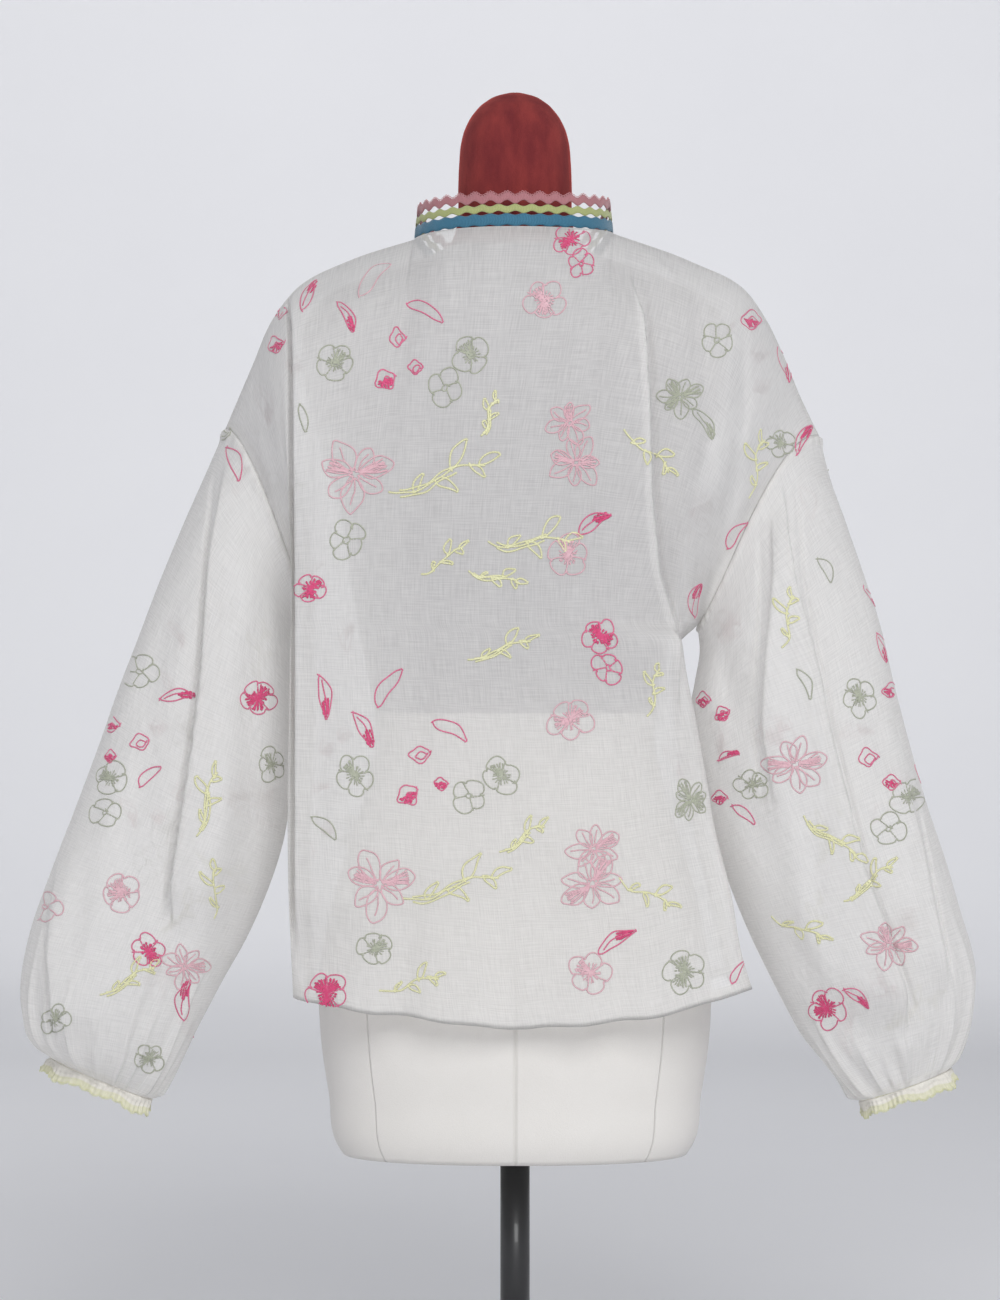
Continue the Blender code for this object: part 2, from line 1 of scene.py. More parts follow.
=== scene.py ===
"""The looks of an embroidered voile blouse on a dress form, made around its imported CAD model.

Metres, +Z up. The blouse's back faces -Y and its left sleeve reaches to -X. Sizes in the tables and in
the points of a shape are millimetres, and MM turns them to metres where a mesh is made.
"""

import math
from typing import NamedTuple

import bmesh
import bpy
import numpy as np
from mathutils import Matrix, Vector
from mathutils.bvhtree import BVHTree


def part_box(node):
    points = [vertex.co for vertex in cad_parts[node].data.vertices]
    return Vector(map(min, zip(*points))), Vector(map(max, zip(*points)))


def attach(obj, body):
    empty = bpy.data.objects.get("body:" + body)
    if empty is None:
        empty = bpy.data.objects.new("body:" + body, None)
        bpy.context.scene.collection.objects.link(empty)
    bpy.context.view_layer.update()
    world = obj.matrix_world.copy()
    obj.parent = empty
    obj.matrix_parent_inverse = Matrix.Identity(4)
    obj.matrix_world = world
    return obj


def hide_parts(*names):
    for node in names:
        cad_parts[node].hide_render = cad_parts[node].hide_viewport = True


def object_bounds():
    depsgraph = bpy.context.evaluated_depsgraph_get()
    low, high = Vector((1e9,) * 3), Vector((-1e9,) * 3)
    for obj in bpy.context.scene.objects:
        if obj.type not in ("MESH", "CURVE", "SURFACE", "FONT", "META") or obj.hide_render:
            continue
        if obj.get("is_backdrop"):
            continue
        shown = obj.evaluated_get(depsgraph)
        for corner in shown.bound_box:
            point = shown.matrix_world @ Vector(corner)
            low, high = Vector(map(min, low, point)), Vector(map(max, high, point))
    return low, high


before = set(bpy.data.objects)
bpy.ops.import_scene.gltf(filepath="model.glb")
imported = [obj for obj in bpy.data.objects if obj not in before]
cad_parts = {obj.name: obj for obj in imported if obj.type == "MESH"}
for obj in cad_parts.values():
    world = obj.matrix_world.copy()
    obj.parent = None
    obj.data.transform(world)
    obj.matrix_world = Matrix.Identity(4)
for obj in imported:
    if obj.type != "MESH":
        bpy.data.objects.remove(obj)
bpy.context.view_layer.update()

# The stand: a cast iron plate with a boss in its middle, and a steel tube that screws into the boss.
# Both are turned work in satin black lacquer. The plate lies on the floor and the tube carries the form.
MM = 0.001
PLATE_EDGE = 6
PLATE_BEVEL = 1
PLATE_SIDES = 128
BOSS_RADIUS = 23
BOSS_HEIGHT = 17
BOSS_EDGE = 3
POLE_SIDES = 48
RIM_STEPS = 5


def linear(hex_colour, alpha=1.0):
    """An sRGB hex colour as Blender's linear RGBA."""
    channels = [int(hex_colour[i : i + 2], 16) / 255 for i in (1, 3, 5)]
    return (*(c / 12.92 if c <= 0.04045 else ((c + 0.055) / 1.055) ** 2.4 for c in channels), alpha)


def node(tree, kind, settings=None, links=None):
    """Adds a node. settings are its own properties, or its sockets' values, and links go to its sockets."""
    made = tree.nodes.new(kind)
    for key, value in (settings or {}).items():
        if isinstance(key, int) or (key in made.inputs and not hasattr(made, key)):
            made.inputs[key].default_value = value
        else:
            setattr(made, key, value)
    for key, source in (links or {}).items():
        tree.links.new(source, made.inputs[key])
    return made


def new_material(name, settings):
    """A material with a Principled shader wired to its output. Returns it, its tree and the shader."""
    made = bpy.data.materials.new(name)
    made.use_nodes = True
    tree = made.node_tree
    tree.nodes.clear()
    shader = node(tree, "ShaderNodeBsdfPrincipled", settings)
    node(tree, "ShaderNodeOutputMaterial", links={"Surface": shader.outputs[0]})
    return made, tree, shader


def grid_faces(rows, columns, closed=False, flip=False):
    """The faces of a grid of points. A closed one joins its last column to its first."""
    faces = []
    for row in range(rows - 1):
        for col in range(columns if closed else columns - 1):
            after = (col + 1) % columns
            here, above = row * columns, (row + 1) * columns
            face = (here + col, here + after, above + after, above + col)
            faces.append(face[::-1] if flip else face)
    return faces


def add_piece(name, points, faces, finish, uv=None):
    """A smooth-shaded mesh object from points in millimetres, with a UV in metres for each point."""
    mesh = bpy.data.meshes.new(name)
    mesh.from_pydata((np.asarray(points) * MM).tolist(), [], faces)
    mesh.materials.append(finish)
    mesh.shade_smooth()
    if uv is not None:
        layer = mesh.uv_layers.new(name="cloth")
        corners = np.zeros(len(mesh.loops), np.int32)
        mesh.loops.foreach_get("vertex_index", corners)
        layer.data.foreach_set("uv", (np.asarray(uv) * MM)[corners].astype(np.float32).ravel())
    made = bpy.data.objects.new(name, mesh)
    bpy.context.scene.collection.objects.link(made)
    return made


def arc(radius, height, edge, first, last):
    """Points of a rounded rim: centre radius and height, edge radius, and the angles it runs between."""
    turns = np.radians(np.linspace(first, last, RIM_STEPS))
    return [(radius + edge * math.cos(t), height + edge * math.sin(t)) for t in turns]


def turned_rings(profile, sides):
    """Rings of points round the pole, one for each radius and height of a profile."""
    angle = np.linspace(0, 2 * math.pi, sides, endpoint=False)
    return [np.stack([r * np.cos(angle), r * np.sin(angle), np.full(sides, z)], axis=-1) for r, z in profile]


def add_turned(name, profile, sides, finish):
    """A closed turned piece. Its profile runs up the outside, from the underside to the top."""
    faces = grid_faces(len(profile), sides, True)
    top = (len(profile) - 1) * sides
    faces += [tuple(range(sides))[::-1], tuple(range(top, top + sides))]
    return add_piece(name, np.concatenate(turned_rings(profile, sides)), faces, finish)


# Satin lacquer over iron: a clear hard film, so metallic 0 and IOR 1.5, with faint orange peel and dust
LACQUER_PEEL = 1.8
LACQUER_DUST = 45
lacquer, tree, shader = new_material("Satin black lacquer", {"Coat Weight": 0.25})
place = node(tree, "ShaderNodeTexCoord").outputs["Object"]
peel = node(
    tree, "ShaderNodeTexNoise", {"Scale": 1 / (LACQUER_PEEL * MM), "Detail": 2}, {"Vector": place}
)
dust = node(
    tree, "ShaderNodeTexNoise", {"Scale": 1 / (LACQUER_DUST * MM), "Detail": 6}, {"Vector": place}
)
worn = node(tree, "ShaderNodeMapRange", {"To Min": 0.3, "To Max": 0.52}, {"Value": dust.outputs[0]})
tone = node(
    tree,
    "ShaderNodeMix",
    {"data_type": "RGBA", 6: linear("#161618"), 7: linear("#2a2a2b")},
    {0: dust.outputs[0]},
)
bump = node(tree, "ShaderNodeBump", {"Strength": 0.12, "Distance": 0.0004}, {"Height": peel.outputs[0]})
tree.links.new(worn.outputs[0], shader.inputs["Roughness"])
tree.links.new(tone.outputs[2], shader.inputs["Base Color"])
tree.links.new(bump.outputs[0], shader.inputs["Normal"])

plate_radius, plate_top = (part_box("form_base")[1][axis] / MM for axis in (0, 2))
# The hollow round the boss, where it rises from the plate
boss_foot = arc(BOSS_RADIUS + BOSS_EDGE, plate_top + BOSS_EDGE, BOSS_EDGE, -90, 0)
plate_profile = [
    (plate_radius - PLATE_BEVEL, 0),
    (plate_radius, PLATE_BEVEL),
    *arc(plate_radius - PLATE_EDGE, plate_top - PLATE_EDGE, PLATE_EDGE, 0, 90),
    (BOSS_RADIUS + BOSS_EDGE, plate_top),
    *[(2 * (BOSS_RADIUS + BOSS_EDGE) - r, z) for r, z in boss_foot],
    *arc(BOSS_RADIUS - BOSS_EDGE, plate_top + BOSS_HEIGHT - BOSS_EDGE, BOSS_EDGE, 0, 90),
]
plate = add_turned("base_plate", plate_profile, PLATE_SIDES, lacquer)
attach(plate, "root")
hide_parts("form_base")

pole_radius, pole_top = (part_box("form_pole")[1][axis] / MM for axis in (0, 2))
pole_profile = [(pole_radius, plate_top + BOSS_HEIGHT), (pole_radius, pole_top)]
pole = add_turned("stand_pole", pole_profile, POLE_SIDES, lacquer)
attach(pole, "root")
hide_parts("form_pole")

# The torso: a hollow shell under a grey-mauve jersey down to the waist and a pale cotton cover below it,
# each sewn from eight panels, with a cotton tape round the waist over their join.
TORSO_SIDES = 160
TORSO_ROW = 4
FORM_ROUNDNESS = 2.3
WAIST = 617
TAPE_WIDTH = 14
TAPE_LIFT = 0.9
# Where the rows of points lie across the tape, from its lower edge (-1) to its upper one (1)
TAPE_ROWS = (-1, -0.96, -0.5, 0, 0.5, 0.96, 1)
PANELS = 8
KNIT_WALE = 1.3
COTTON_THREAD = 0.9
SEAM_SHARE = 0.012
SEAM_DEPTH = 1.2
CLOUDING = 60
# Painted light: how far from the middle the covers start and stop being painted paler, how much paler, and
# the pale tone
PAINTED_LIGHT_FROM = 110
PAINTED_LIGHT_TO = 175
PAINTED_LIGHT_MOST = 0.25
PAINTED_LIGHT_TONE = "#d2cfd0"


def smooth(at, xs, ys):
    """Reads, at the places given, a smooth curve through the points xs, ys, where xs rises."""
    xs = np.asarray(xs, float)
    ys = np.asarray(ys, float)
    slopes = np.gradient(ys, xs)
    low = np.clip(np.searchsorted(xs, at) - 1, 0, len(xs) - 2)
    span = xs[low + 1] - xs[low]
    t = np.clip((at - xs[low]) / span, 0, 1)
    start = (2 * t**3 - 3 * t**2 + 1) * ys[low] + (t**3 - 2 * t**2 + t) * span * slopes[low]
    end = (3 * t**2 - 2 * t**3) * ys[low + 1] + (t**3 - t**2) * span * slopes[low + 1]
    return start + end


def power(value, roundness):
    """A cosine or sine turned into that of a superellipse."""
    return np.sign(value) * np.abs(value) ** (2 / roundness)


def levels_of(name):
    """A form node's level sections, from its points: height, half width, back depth and front depth."""
    points = np.array([v.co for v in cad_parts[name].data.vertices]) / MM
    heights = np.unique(np.round(points[:, 2], 1))
    levels = []
    for height in heights:
        ring = points[np.abs(points[:, 2] - height) < 0.1]
        levels.append((height, ring[:, 0].max(), -ring[:, 1].min(), ring[:, 1].max()))
    return np.array(levels)


def form_rings(levels, heights, angles, grow=0.0):
    """Rings round a form at the heights given, and their UV: the way round and the height."""
    width, back, front = (smooth(heights, levels[:, 0], levels[:, i])[:, None] + grow for i in (1, 2, 3))
    x = width * power(np.cos(angles), FORM_ROUNDNESS)
    y = np.where(np.sin(angles) < 0, back, front) * power(np.sin(angles), FORM_ROUNDNESS)
    points = np.stack([x, y, np.broadcast_to(heights[:, None], x.shape)], axis=-1)
    uv = np.stack(np.broadcast_arrays(angles / (2 * math.pi) / MM, heights[:, None]), axis=-1)
    return points, uv


def add_cover(name, rings, uv, finish, close_low, close_high):
    """A cover round the form. An end that is closed gets one flat face."""
    rows, sides = rings.shape[:2]
    faces = grid_faces(rows, sides, True)
    last = (rows - 1) * sides
    faces += [tuple(range(sides))[::-1]] * close_low + [tuple(range(last, last + sides))] * close_high
    return add_piece(name, rings.reshape(-1, 3), faces, finish, uv.reshape(-1, 2))


def cover_material(name, settings, dark, light, thread, bump_depth):
    """A knitted or woven cover: a fine grain the size of its threads, sewn seams, and soft clouding."""
    made, tree, shader = new_material(name, settings)
    uv = node(tree, "ShaderNodeUVMap", {"uv_map": "cloth"}).outputs[0]
    place = node(tree, "ShaderNodeTexCoord").outputs["Object"]
    fine = node(
        tree, "ShaderNodeTexNoise", {"Scale": 1 / (thread * MM), "Detail": 3}, {"Vector": place}
    )
    cloud = node(
        tree, "ShaderNodeTexNoise", {"Scale": 1 / (CLOUDING * MM), "Detail": 3}, {"Vector": place}
    )
    both = node(tree, "ShaderNodeMath", {"operation": "ADD"}, {0: fine.outputs[0], 1: cloud.outputs[0]})
    half = node(tree, "ShaderNodeMath", {"operation": "MULTIPLY", 1: 0.5}, {0: both.outputs[0]})
    # The seams lie evenly round the form: how far a point is from the nearest, as a share of a panel
    round_it = node(tree, "ShaderNodeSeparateXYZ", links={0: uv}).outputs[0]
    panels = node(tree, "ShaderNodeMath", {"operation": "MULTIPLY", 1: float(PANELS)}, {0: round_it})
    off = node(tree, "ShaderNodeMath", {"operation": "PINGPONG", 1: 0.5}, {0: panels.outputs[0]})
    seam = node(
        tree, "ShaderNodeMapRange", {"From Max": SEAM_SHARE, "To Min": 0.0}, {"Value": off.outputs[0]}
    )
    tone = node(
        tree,
        "ShaderNodeMix",
        {"data_type": "RGBA", 6: linear(dark), 7: linear(light)},
        {0: half.outputs[0]},
    )
    # Painted light: the cover's colour is painted paler towards its sides, where the form turns away under
    # the cloth
    sideways = node(tree, "ShaderNodeSeparateXYZ", links={0: place}).outputs[0]
    aside = node(tree, "ShaderNodeMath", {"operation": "ABSOLUTE"}, {0: sideways})
    painted_side_light = node(
        tree,
        "ShaderNodeMapRange",
        {
            "interpolation_type": "SMOOTHSTEP",
            "From Min": PAINTED_LIGHT_FROM * MM,
            "From Max": PAINTED_LIGHT_TO * MM,
            "To Max": PAINTED_LIGHT_MOST,
        },
        {"Value": aside.outputs[0]},
    )
    tone = node(
        tree,
        "ShaderNodeMix",
        {"data_type": "RGBA", 7: linear(PAINTED_LIGHT_TONE)},
        {0: painted_side_light.outputs[0], 6: tone.outputs[2]},
    )
    lined = node(
        tree,
        "ShaderNodeMix",
        {"data_type": "RGBA", 6: linear(dark)},
        {0: seam.outputs[0], 7: tone.outputs[2]},
    )
    weave = node(
        tree, "ShaderNodeBump", {"Strength": 0.5, "Distance": bump_depth}, {"Height": fine.outputs[0]}
    )
    groove = node(
        tree,
        "ShaderNodeBump",
        {"Strength": 0.7, "Distance": SEAM_DEPTH * MM},
        {"Height": seam.outputs[0], "Normal": weave.outputs[0]},
    )
    tree.links.new(lined.outputs[2], shader.inputs["Base Color"])
    tree.links.new(groove.outputs[0], shader.inputs["Normal"])
    return made


# Knitted jersey is matt with a short fuzz, so it is rough and has a little sheen
jersey = cover_material(
    "Grey-mauve knitted jersey",
    {"Roughness": 0.9, "Sheen Weight": 1.0, "Sheen Roughness": 0.6},
    "#69636a",
    "#837c83",
    KNIT_WALE,
    0.0006,
)
# Plain woven calico is matt and off-white
calico = cover_material(
    "Woven cotton calico",
    {"Roughness": 0.88, "Sheen Weight": 0.15},
    "#dddad4",
    "#edeae6",
    COTTON_THREAD,
    0.0004,
)
round_form = np.linspace(0, 2 * math.pi, TORSO_SIDES, endpoint=False)
torso_levels = levels_of("form_torso")
torso_low, torso_top = torso_levels[0, 0], torso_levels[-1, 0]
for name, low, high, finish, slot in (
    ("torso_cover_upper", WAIST, torso_top, jersey, "jersey"),
    ("torso_cover_lower", torso_low, WAIST, calico, "jersey"),
):
    heights = np.linspace(low, high, int((high - low) / TORSO_ROW))
    rings, uv = form_rings(torso_levels, heights, round_form)
    cover = add_cover(name, rings, uv, finish, low == torso_low, high == torso_top)
    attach(cover, "root")
    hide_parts("form_torso")
tape_heights = WAIST + np.array(TAPE_ROWS) * TAPE_WIDTH / 2
tape_rings, uv = form_rings(torso_levels, tape_heights, round_form, TAPE_LIFT)
tape_rings[[0, -1]], _ = form_rings(torso_levels, tape_heights[[0, -1]], round_form)
tape = add_cover("waist_tape", tape_rings, uv, calico, False, False)
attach(tape, "root")

# The neck: a turned block under a cap of burgundy velvet, cut in four gores that meet at the crown. The
# seams run up the centre back, the centre front and both sides, and sink a little into the pile.
NECK_SIDES = 144
NECK_ROWS = 90
GORE_SEAM_WIDTH = 1.6
GORE_SEAM_DEPTH = 1.3
PILE = 1.1
NAP = 16
NAP_STRETCH = 0.35
CROWN_CROWDING = 0.9
# The seams run out this close to the crown's middle
CROWN_CENTRE = 6

# Velvet's pile stands up, so it is very rough, dark where it is looked into and paler along its edges
velvet, tree, shader = new_material(
    "Burgundy cotton velvet",
    {"Roughness": 0.95, "Sheen Weight": 0.85, "Sheen Roughness": 0.3, "Sheen Tint": linear("#cc4a40")},
)
place = node(tree, "ShaderNodeTexCoord").outputs["Object"]
stroked = node(tree, "ShaderNodeMapping", {"Scale": (1.0, 1.0, NAP_STRETCH)}, {"Vector": place})
nap = node(
    tree, "ShaderNodeTexNoise", {"Scale": 1 / (NAP * MM), "Detail": 5}, {"Vector": stroked.outputs[0]}
)
pile = node(tree, "ShaderNodeTexNoise", {"Scale": 1 / (PILE * MM), "Detail": 2}, {"Vector": place})
spread = node(
    tree, "ShaderNodeMapRange", {"From Min": 0.35, "From Max": 0.65}, {"Value": nap.outputs[0]}
)
tone = node(
    tree,
    "ShaderNodeMix",
    {"data_type": "RGBA", 6: linear("#6b1f23"), 7: linear("#852f2d")},
    {0: spread.outputs[0]},
)
bump = node(tree, "ShaderNodeBump", {"Strength": 0.5, "Distance": 0.0007}, {"Height": pile.outputs[0]})
tree.links.new(tone.outputs[2], shader.inputs["Base Color"])
tree.links.new(bump.outputs[0], shader.inputs["Normal"])

neck_levels = levels_of("form_neck")
round_neck = np.linspace(0, 2 * math.pi, NECK_SIDES, endpoint=False)
# The rings lie closer together where the crown turns over
climb = np.sin(np.linspace(0, math.pi / 2, NECK_ROWS)) ** CROWN_CROWDING
neck_heights = neck_levels[0, 0] + (neck_levels[-1, 0] - neck_levels[0, 0]) * climb
rings, uv = form_rings(neck_levels, neck_heights, round_neck)
from_seam = np.abs((round_neck + math.pi / 4) % (math.pi / 2) - math.pi / 4) * neck_levels[:, 1].max()
sunk = GORE_SEAM_DEPTH * np.exp(-((from_seam / GORE_SEAM_WIDTH) ** 2))
across = np.linalg.norm(rings[:, :, :2], axis=2)
rings[:, :, :2] *= (1 - sunk / np.maximum(across, CROWN_CENTRE))[:, :, None]
neck = add_cover("neck_cap", rings, uv, velvet, True, True)
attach(neck, "root")
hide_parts("form_neck")

# The back: one panel of sheer white cotton voile from the hem to the neckline, with dropped shoulders. It
# is cut loose, so it hangs from the shoulders in a few long folds, and its hem is turned up and sewn.
COLUMNS = {"shoulder": 122, "neck": 80}
ROWS_BELOW = 72
ROWS_ABOVE = 60
NECK_SHARE = 0.34
HALF_CUT = 245
SEAM_TURNING = 7
HEM_TURNING = 9
TURNING_GAP = 0.8
# Where the rows of points lie across a turning, from its cut edge (1) to its fold (0)
TURNING_ROWS = (1, 0.8, 0.55, 0.3, 0.06, 0)
# Points closer than this are joined, in metres
WELD = 0.00001


class Section(NamedTuple):
    """A level section of the body: its side seams, the corners that fold out past them, and its depth."""

    height: float
    left_corner: float
    left_seam: float
    right_seam: float
    right_corner: float
    back: float
    front: float


BODY = (
    Section(380, -183, -173, 189, 201, -131, 124),
    Section(420, -185, -175, 178, 188, -127, 120),
    Section(475, -187.5, -176, 165, 178, -121, 117),
    Section(530, -188.5, -176, 152, 164.5, -117, 116),
    Section(570, -188.5, -174, 145, 158, -115, 117),
    Section(620, -187.5, -172.5, 137, 149, -114, 119),
    Section(655, -187, -172, 134, 142, -113, 121),
    Section(685, -186.5, -172, 141, 138, -113, 122),
    Section(698, -186, -172, 155, 136, -113, 123),
    Section(712, -186, -172, 156, 135, -113, 124),
)
# The hem's height from the left seam (-1) by the centre (0) to the right seam (1)
HEM_AT = (-1, -0.6, -0.45, -0.3, 0, 0.3, 0.45, 0.6, 1)
HEM = {
    "back": (390, 388, 381, 375, 368, 374, 382, 393, 396),
    "front": (390, 384, 378, 374, 372, 374, 379, 388, 396),
}
HEM_WAVER = 1.6
BODY_ROUNDNESS = 2.6
CORNER_AT = 0.55
CORNER_REACH = 0.24
CORNER_PASSES = 8
OUTLINE_STEPS = 481


class Armhole(NamedTuple):
    """An armhole ring: its drop point, its underarm point, its half depth and its bow towards the neck."""

    drop_x: float
    drop_z: float
    under_x: float
    under_z: float
    reach: float
    bow: float


ARMHOLES = {
    "left": Armhole(-246.5, 863.5, -172, 712, 60, 16),
    "right": Armhole(259, 857, 155, 698, 41, 26),
}
# Each shoulder seam in x and z, from the drop point up to the neck point
SHOULDER_SEAMS = {
    "left": ((-246.5, 863.5), (-234, 893), (-221, 923), (-208, 953), (-183, 985), (-140, 1007), (-85, 1025)),
    "right": ((259, 857), (242, 893), (228, 927), (212, 959), (195, 982), (149, 1006), (83, 1030)),
}
NECK_HALF_WIDTH = 84
NECK_X = -1
NECK_DEPTH = {"back": -70, "front": 72}
NECK_CENTRE_HEIGHT = {"back": 1029, "front": 985}
NECK_SIDE_HEIGHT = {"left": 1025, "right": 1030}
# How deep each panel stands across the shoulders, from its left edge (-1) to its right edge (1)
CHEST_AT = (-1, -0.9, -0.75, -0.5, -0.25, 0, 0.25, 0.5, 0.62, 0.75, 0.9, 1)
CHEST_DEPTH = {
    "back": (-60, -80, -97, -110, -115, -117, -116, -110, -100, -82, -57, -41),
    "front": (60, 82, 100, 118, 124, 122, 124, 116, 106, 90, 62, 41),
}
SHOULDER_ROUNDING = 105
NECK_ROUNDING = 150
UNDERARM_ROUNDING = 140
# How far a lapped fold draws the cloth along on its open side, and how sharply it turns under
LAP_REACH = 16
LAP_EDGE = 2.5
GROOVE_AT = 2.3
GROOVE_WIDTH = 1.8
# The usual sizes of the cloth's slight waves, across and up, and how far they stand out
BROAD_WAVES = ((60, 260), 0.9)
FINE_WAVES = ((17, 38), 0.22)
# The folds die out over so many rows below the top edge, and towards the sides the more sharply
FOLD_END_ROWS = 14
FOLD_END_POWER = 12
# How sharply the armhole's shape dies out towards the middle, and how far the neckline's spreads
ARMHOLE_POWER = 8
NECK_SPREAD = 1.6


class Fold(NamedTuple):
    """A fold down the cloth: the x and z of its crest, its reach to each side, its lift, the lengths over
    which it rises at its head and dies at its foot (0 leaves it open), how far it laps over its narrower
    side, and how deep the groove is that lies under the lapped edge."""

    crest: tuple
    left: float
    right: float
    lift: float
    head: float
    foot: float
    lap: float = 0.0
    groove: float = 0.0


FOLDS = {
    "back": (
        Fold(((-191, 985), (-184, 942), (-182, 900), (-181, 700), (-181, 420)), 2.5, 55, 14, 25, 60, 4, 20),
        Fold(
            ((104, 1000), (110, 892), (113, 802), (119, 743), (134, 693), (147, 618)),
            50, 3, 15, 60, 70, 12, 4,
        ),
        Fold(((-120, 600), (-126, 480), (-130, 360)), 26, 22, 5, 150, 0),
        Fold(((-52, 560), (-50, 470), (-46, 360)), 24, 26, 4, 150, 0),
        Fold(((38, 600), (44, 480), (50, 360)), 22, 24, 5, 170, 0),
        Fold(((112, 560), (120, 470), (128, 360)), 20, 22, 5, 140, 0),
        # Soft creases that drag from the underarms and hang from the shoulders
        Fold(((-214, 940), (-219, 880), (-216, 800)), 7, 9, -4, 40, 50),
        Fold(((-158, 985), (-150, 900), (-146, 780)), 10, 16, -2.5, 50, 120),
        Fold(((-60, 1018), (-56, 960), (-58, 890)), 4, 9, 1.8, 18, 60),
        Fold(((-12, 1020), (-8, 940), (-14, 860)), 9, 12, -1.6, 30, 70),
        Fold(((62, 1012), (68, 930), (66, 820)), 12, 9, -2.2, 40, 110),
        Fold(((108, 1016), (128, 990), (146, 982)), 5, 3, 6, 6, 5),
        Fold(((150, 985), (152, 930), (160, 870), (158, 800)), 9, 7, -4, 40, 60),
        Fold(((188, 950), (190, 880), (180, 800), (168, 745)), 8, 6, -4.5, 40, 40),
        Fold(((136, 850), (140, 780), (146, 720)), 6, 8, 3.5, 40, 30),
        Fold(((-164, 700), (-160, 600), (-164, 470)), 8, 12, -3, 60, 90),
        Fold(((-92, 820), (-84, 700), (-88, 560)), 14, 20, -1.8, 110, 110),
        Fold(((6, 760), (0, 620), (4, 480)), 18, 14, -1.8, 120, 100),
        Fold(((84, 720), (92, 600), (100, 470)), 12, 16, -2.6, 100, 90),
        Fold(((-86, 470), (-90, 420), (-92, 360)), 9, 12, -2.6, 50, 0),
        Fold(((-8, 450), (-4, 410), (0, 360)), 11, 9, -2.4, 50, 0),
        Fold(((80, 480), (86, 420), (90, 360)), 8, 11, -3, 60, 0),
    ),
    "front": (
        Fold(((-176, 960), (-178, 800), (-176, 640), (-172, 500)), 4, 50, 12, 80, 90, 6, 9),
        Fold(((168, 960), (150, 800), (140, 640), (142, 500)), 50, 4, 12, 80, 90, 6, 9),
        Fold(((-104, 720), (-112, 540), (-122, 360)), 24, 26, 7, 160, 0),
        Fold(((-40, 700), (-42, 540), (-46, 360)), 22, 24, 6, 170, 0),
        Fold(((46, 700), (44, 540), (46, 360)), 24, 22, 6, 170, 0),
        Fold(((100, 700), (112, 540), (126, 360)), 24, 24, 7, 160, 0),
        Fold(((-206, 930), (-208, 860), (-196, 770)), 7, 9, -4, 40, 60),
        Fold(((214, 920), (212, 850), (188, 760)), 9, 7, -4, 40, 60),
        Fold(((-132, 940), (-120, 820), (-126, 700)), 14, 12, -3, 60, 120),
        Fold(((-62, 900), (-70, 790), (-72, 660)), 12, 14, -2.4, 60, 110),
        Fold(((34, 820), (22, 700), (14, 560)), 14, 12, -2.2, 80, 120),
        Fold(((118, 930), (104, 800), (98, 690)), 12, 14, -3, 60, 110),
        Fold(((-78, 560), (-82, 460), (-86, 360)), 11, 13, -3.4, 90, 0),
        Fold(((2, 540), (0, 450), (-2, 360)), 12, 10, -3, 80, 0),
        Fold(((76, 560), (82, 460), (88, 360)), 10, 13, -3.4, 90, 0),
    ),
}


def walk(points):
    """How far along a line each of its points lies."""
    return np.concatenate([[0], np.cumsum(np.linalg.norm(np.diff(points, axis=0), axis=1))])


def ease(t):
    """0 below 0, 1 above 1, and a soft step between."""
    t = np.clip(t, 0, 1)
    return t * t * (3 - 2 * t)


def quarter(t):
    """The rise of a quarter of an ellipse: steep at 0, level from 1 on."""
    return np.sqrt(1 - (1 - np.clip(t, 0, 1)) ** 2)


def column(table, name):
    """One field of each row of a table."""
    return [getattr(row, name) for row in table]


def neckline(angle, face):
    """The neckline ring at an angle, 0 at the right neck point and pi at the left one."""
    left, right = NECK_SIDE_HEIGHT["left"], NECK_SIDE_HEIGHT["right"]
    side = left + (right - left) * (1 + np.cos(angle)) / 2
    z = side + (NECK_CENTRE_HEIGHT[face] - side) * np.abs(np.sin(angle)) ** 1.5
    return np.stack(
        [NECK_X + NECK_HALF_WIDTH * np.cos(angle), NECK_DEPTH[face] * np.sin(angle), z], axis=-1
    )


def level_outline(rise, places, face):
    """One row of a panel below the armpits. rise is 0 at the hem and 1 at the armpits."""
    heights = column(BODY, "height")
    waver = HEM_WAVER * np.cos(23 * places + len(face)) * np.cos(9 * places)
    hem = smooth(places, HEM_AT, HEM[face]) + waver
    pits = np.interp(places, (-1, 1), (ARMHOLES["left"].under_z, ARMHOLES["right"].under_z))
    z = hem + (pits - hem) * rise
    z_left, z_centre, z_right = z[0], z[len(z) // 2], z[-1]
    left = smooth(z_left, heights, column(BODY, "left_seam"))
    right = smooth(z_right, heights, column(BODY, "right_seam"))
    depth = smooth(z_centre, heights, column(BODY, face))
    angle = np.linspace(math.pi, 0, OUTLINE_STEPS)
    x = (left + right) / 2 + (right - left) / 2 * power(np.cos(angle), BODY_ROUNDNESS)
    y = depth * power(np.sin(angle), BODY_ROUNDNESS)
    for name, side, z_side in (("left_corner", -1, z_left), ("right_corner", 1, z_right)):
        corner = math.pi / 2 * (1 - side * (1 - CORNER_AT))
        bump = side * np.exp(-(((angle - corner) / (math.pi / 2 * CORNER_REACH)) ** 2))
        reach = side * smooth(z_side, heights, column(BODY, name))
        near = np.abs(angle - corner) < math.pi / 2 * CORNER_REACH
        # Pushes the corner out until its furthest point stands where the table says
        for _ in range(CORNER_PASSES):
            x = x + bump * (reach - np.max(side * x[near]))
    walked = np.concatenate([[0], np.cumsum(np.hypot(np.diff(x), np.diff(y)))])
    share = 2 * walked / walked[-1] - 1
    return np.stack([np.interp(places, share, x), np.interp(places, share, y), z], axis=-1)


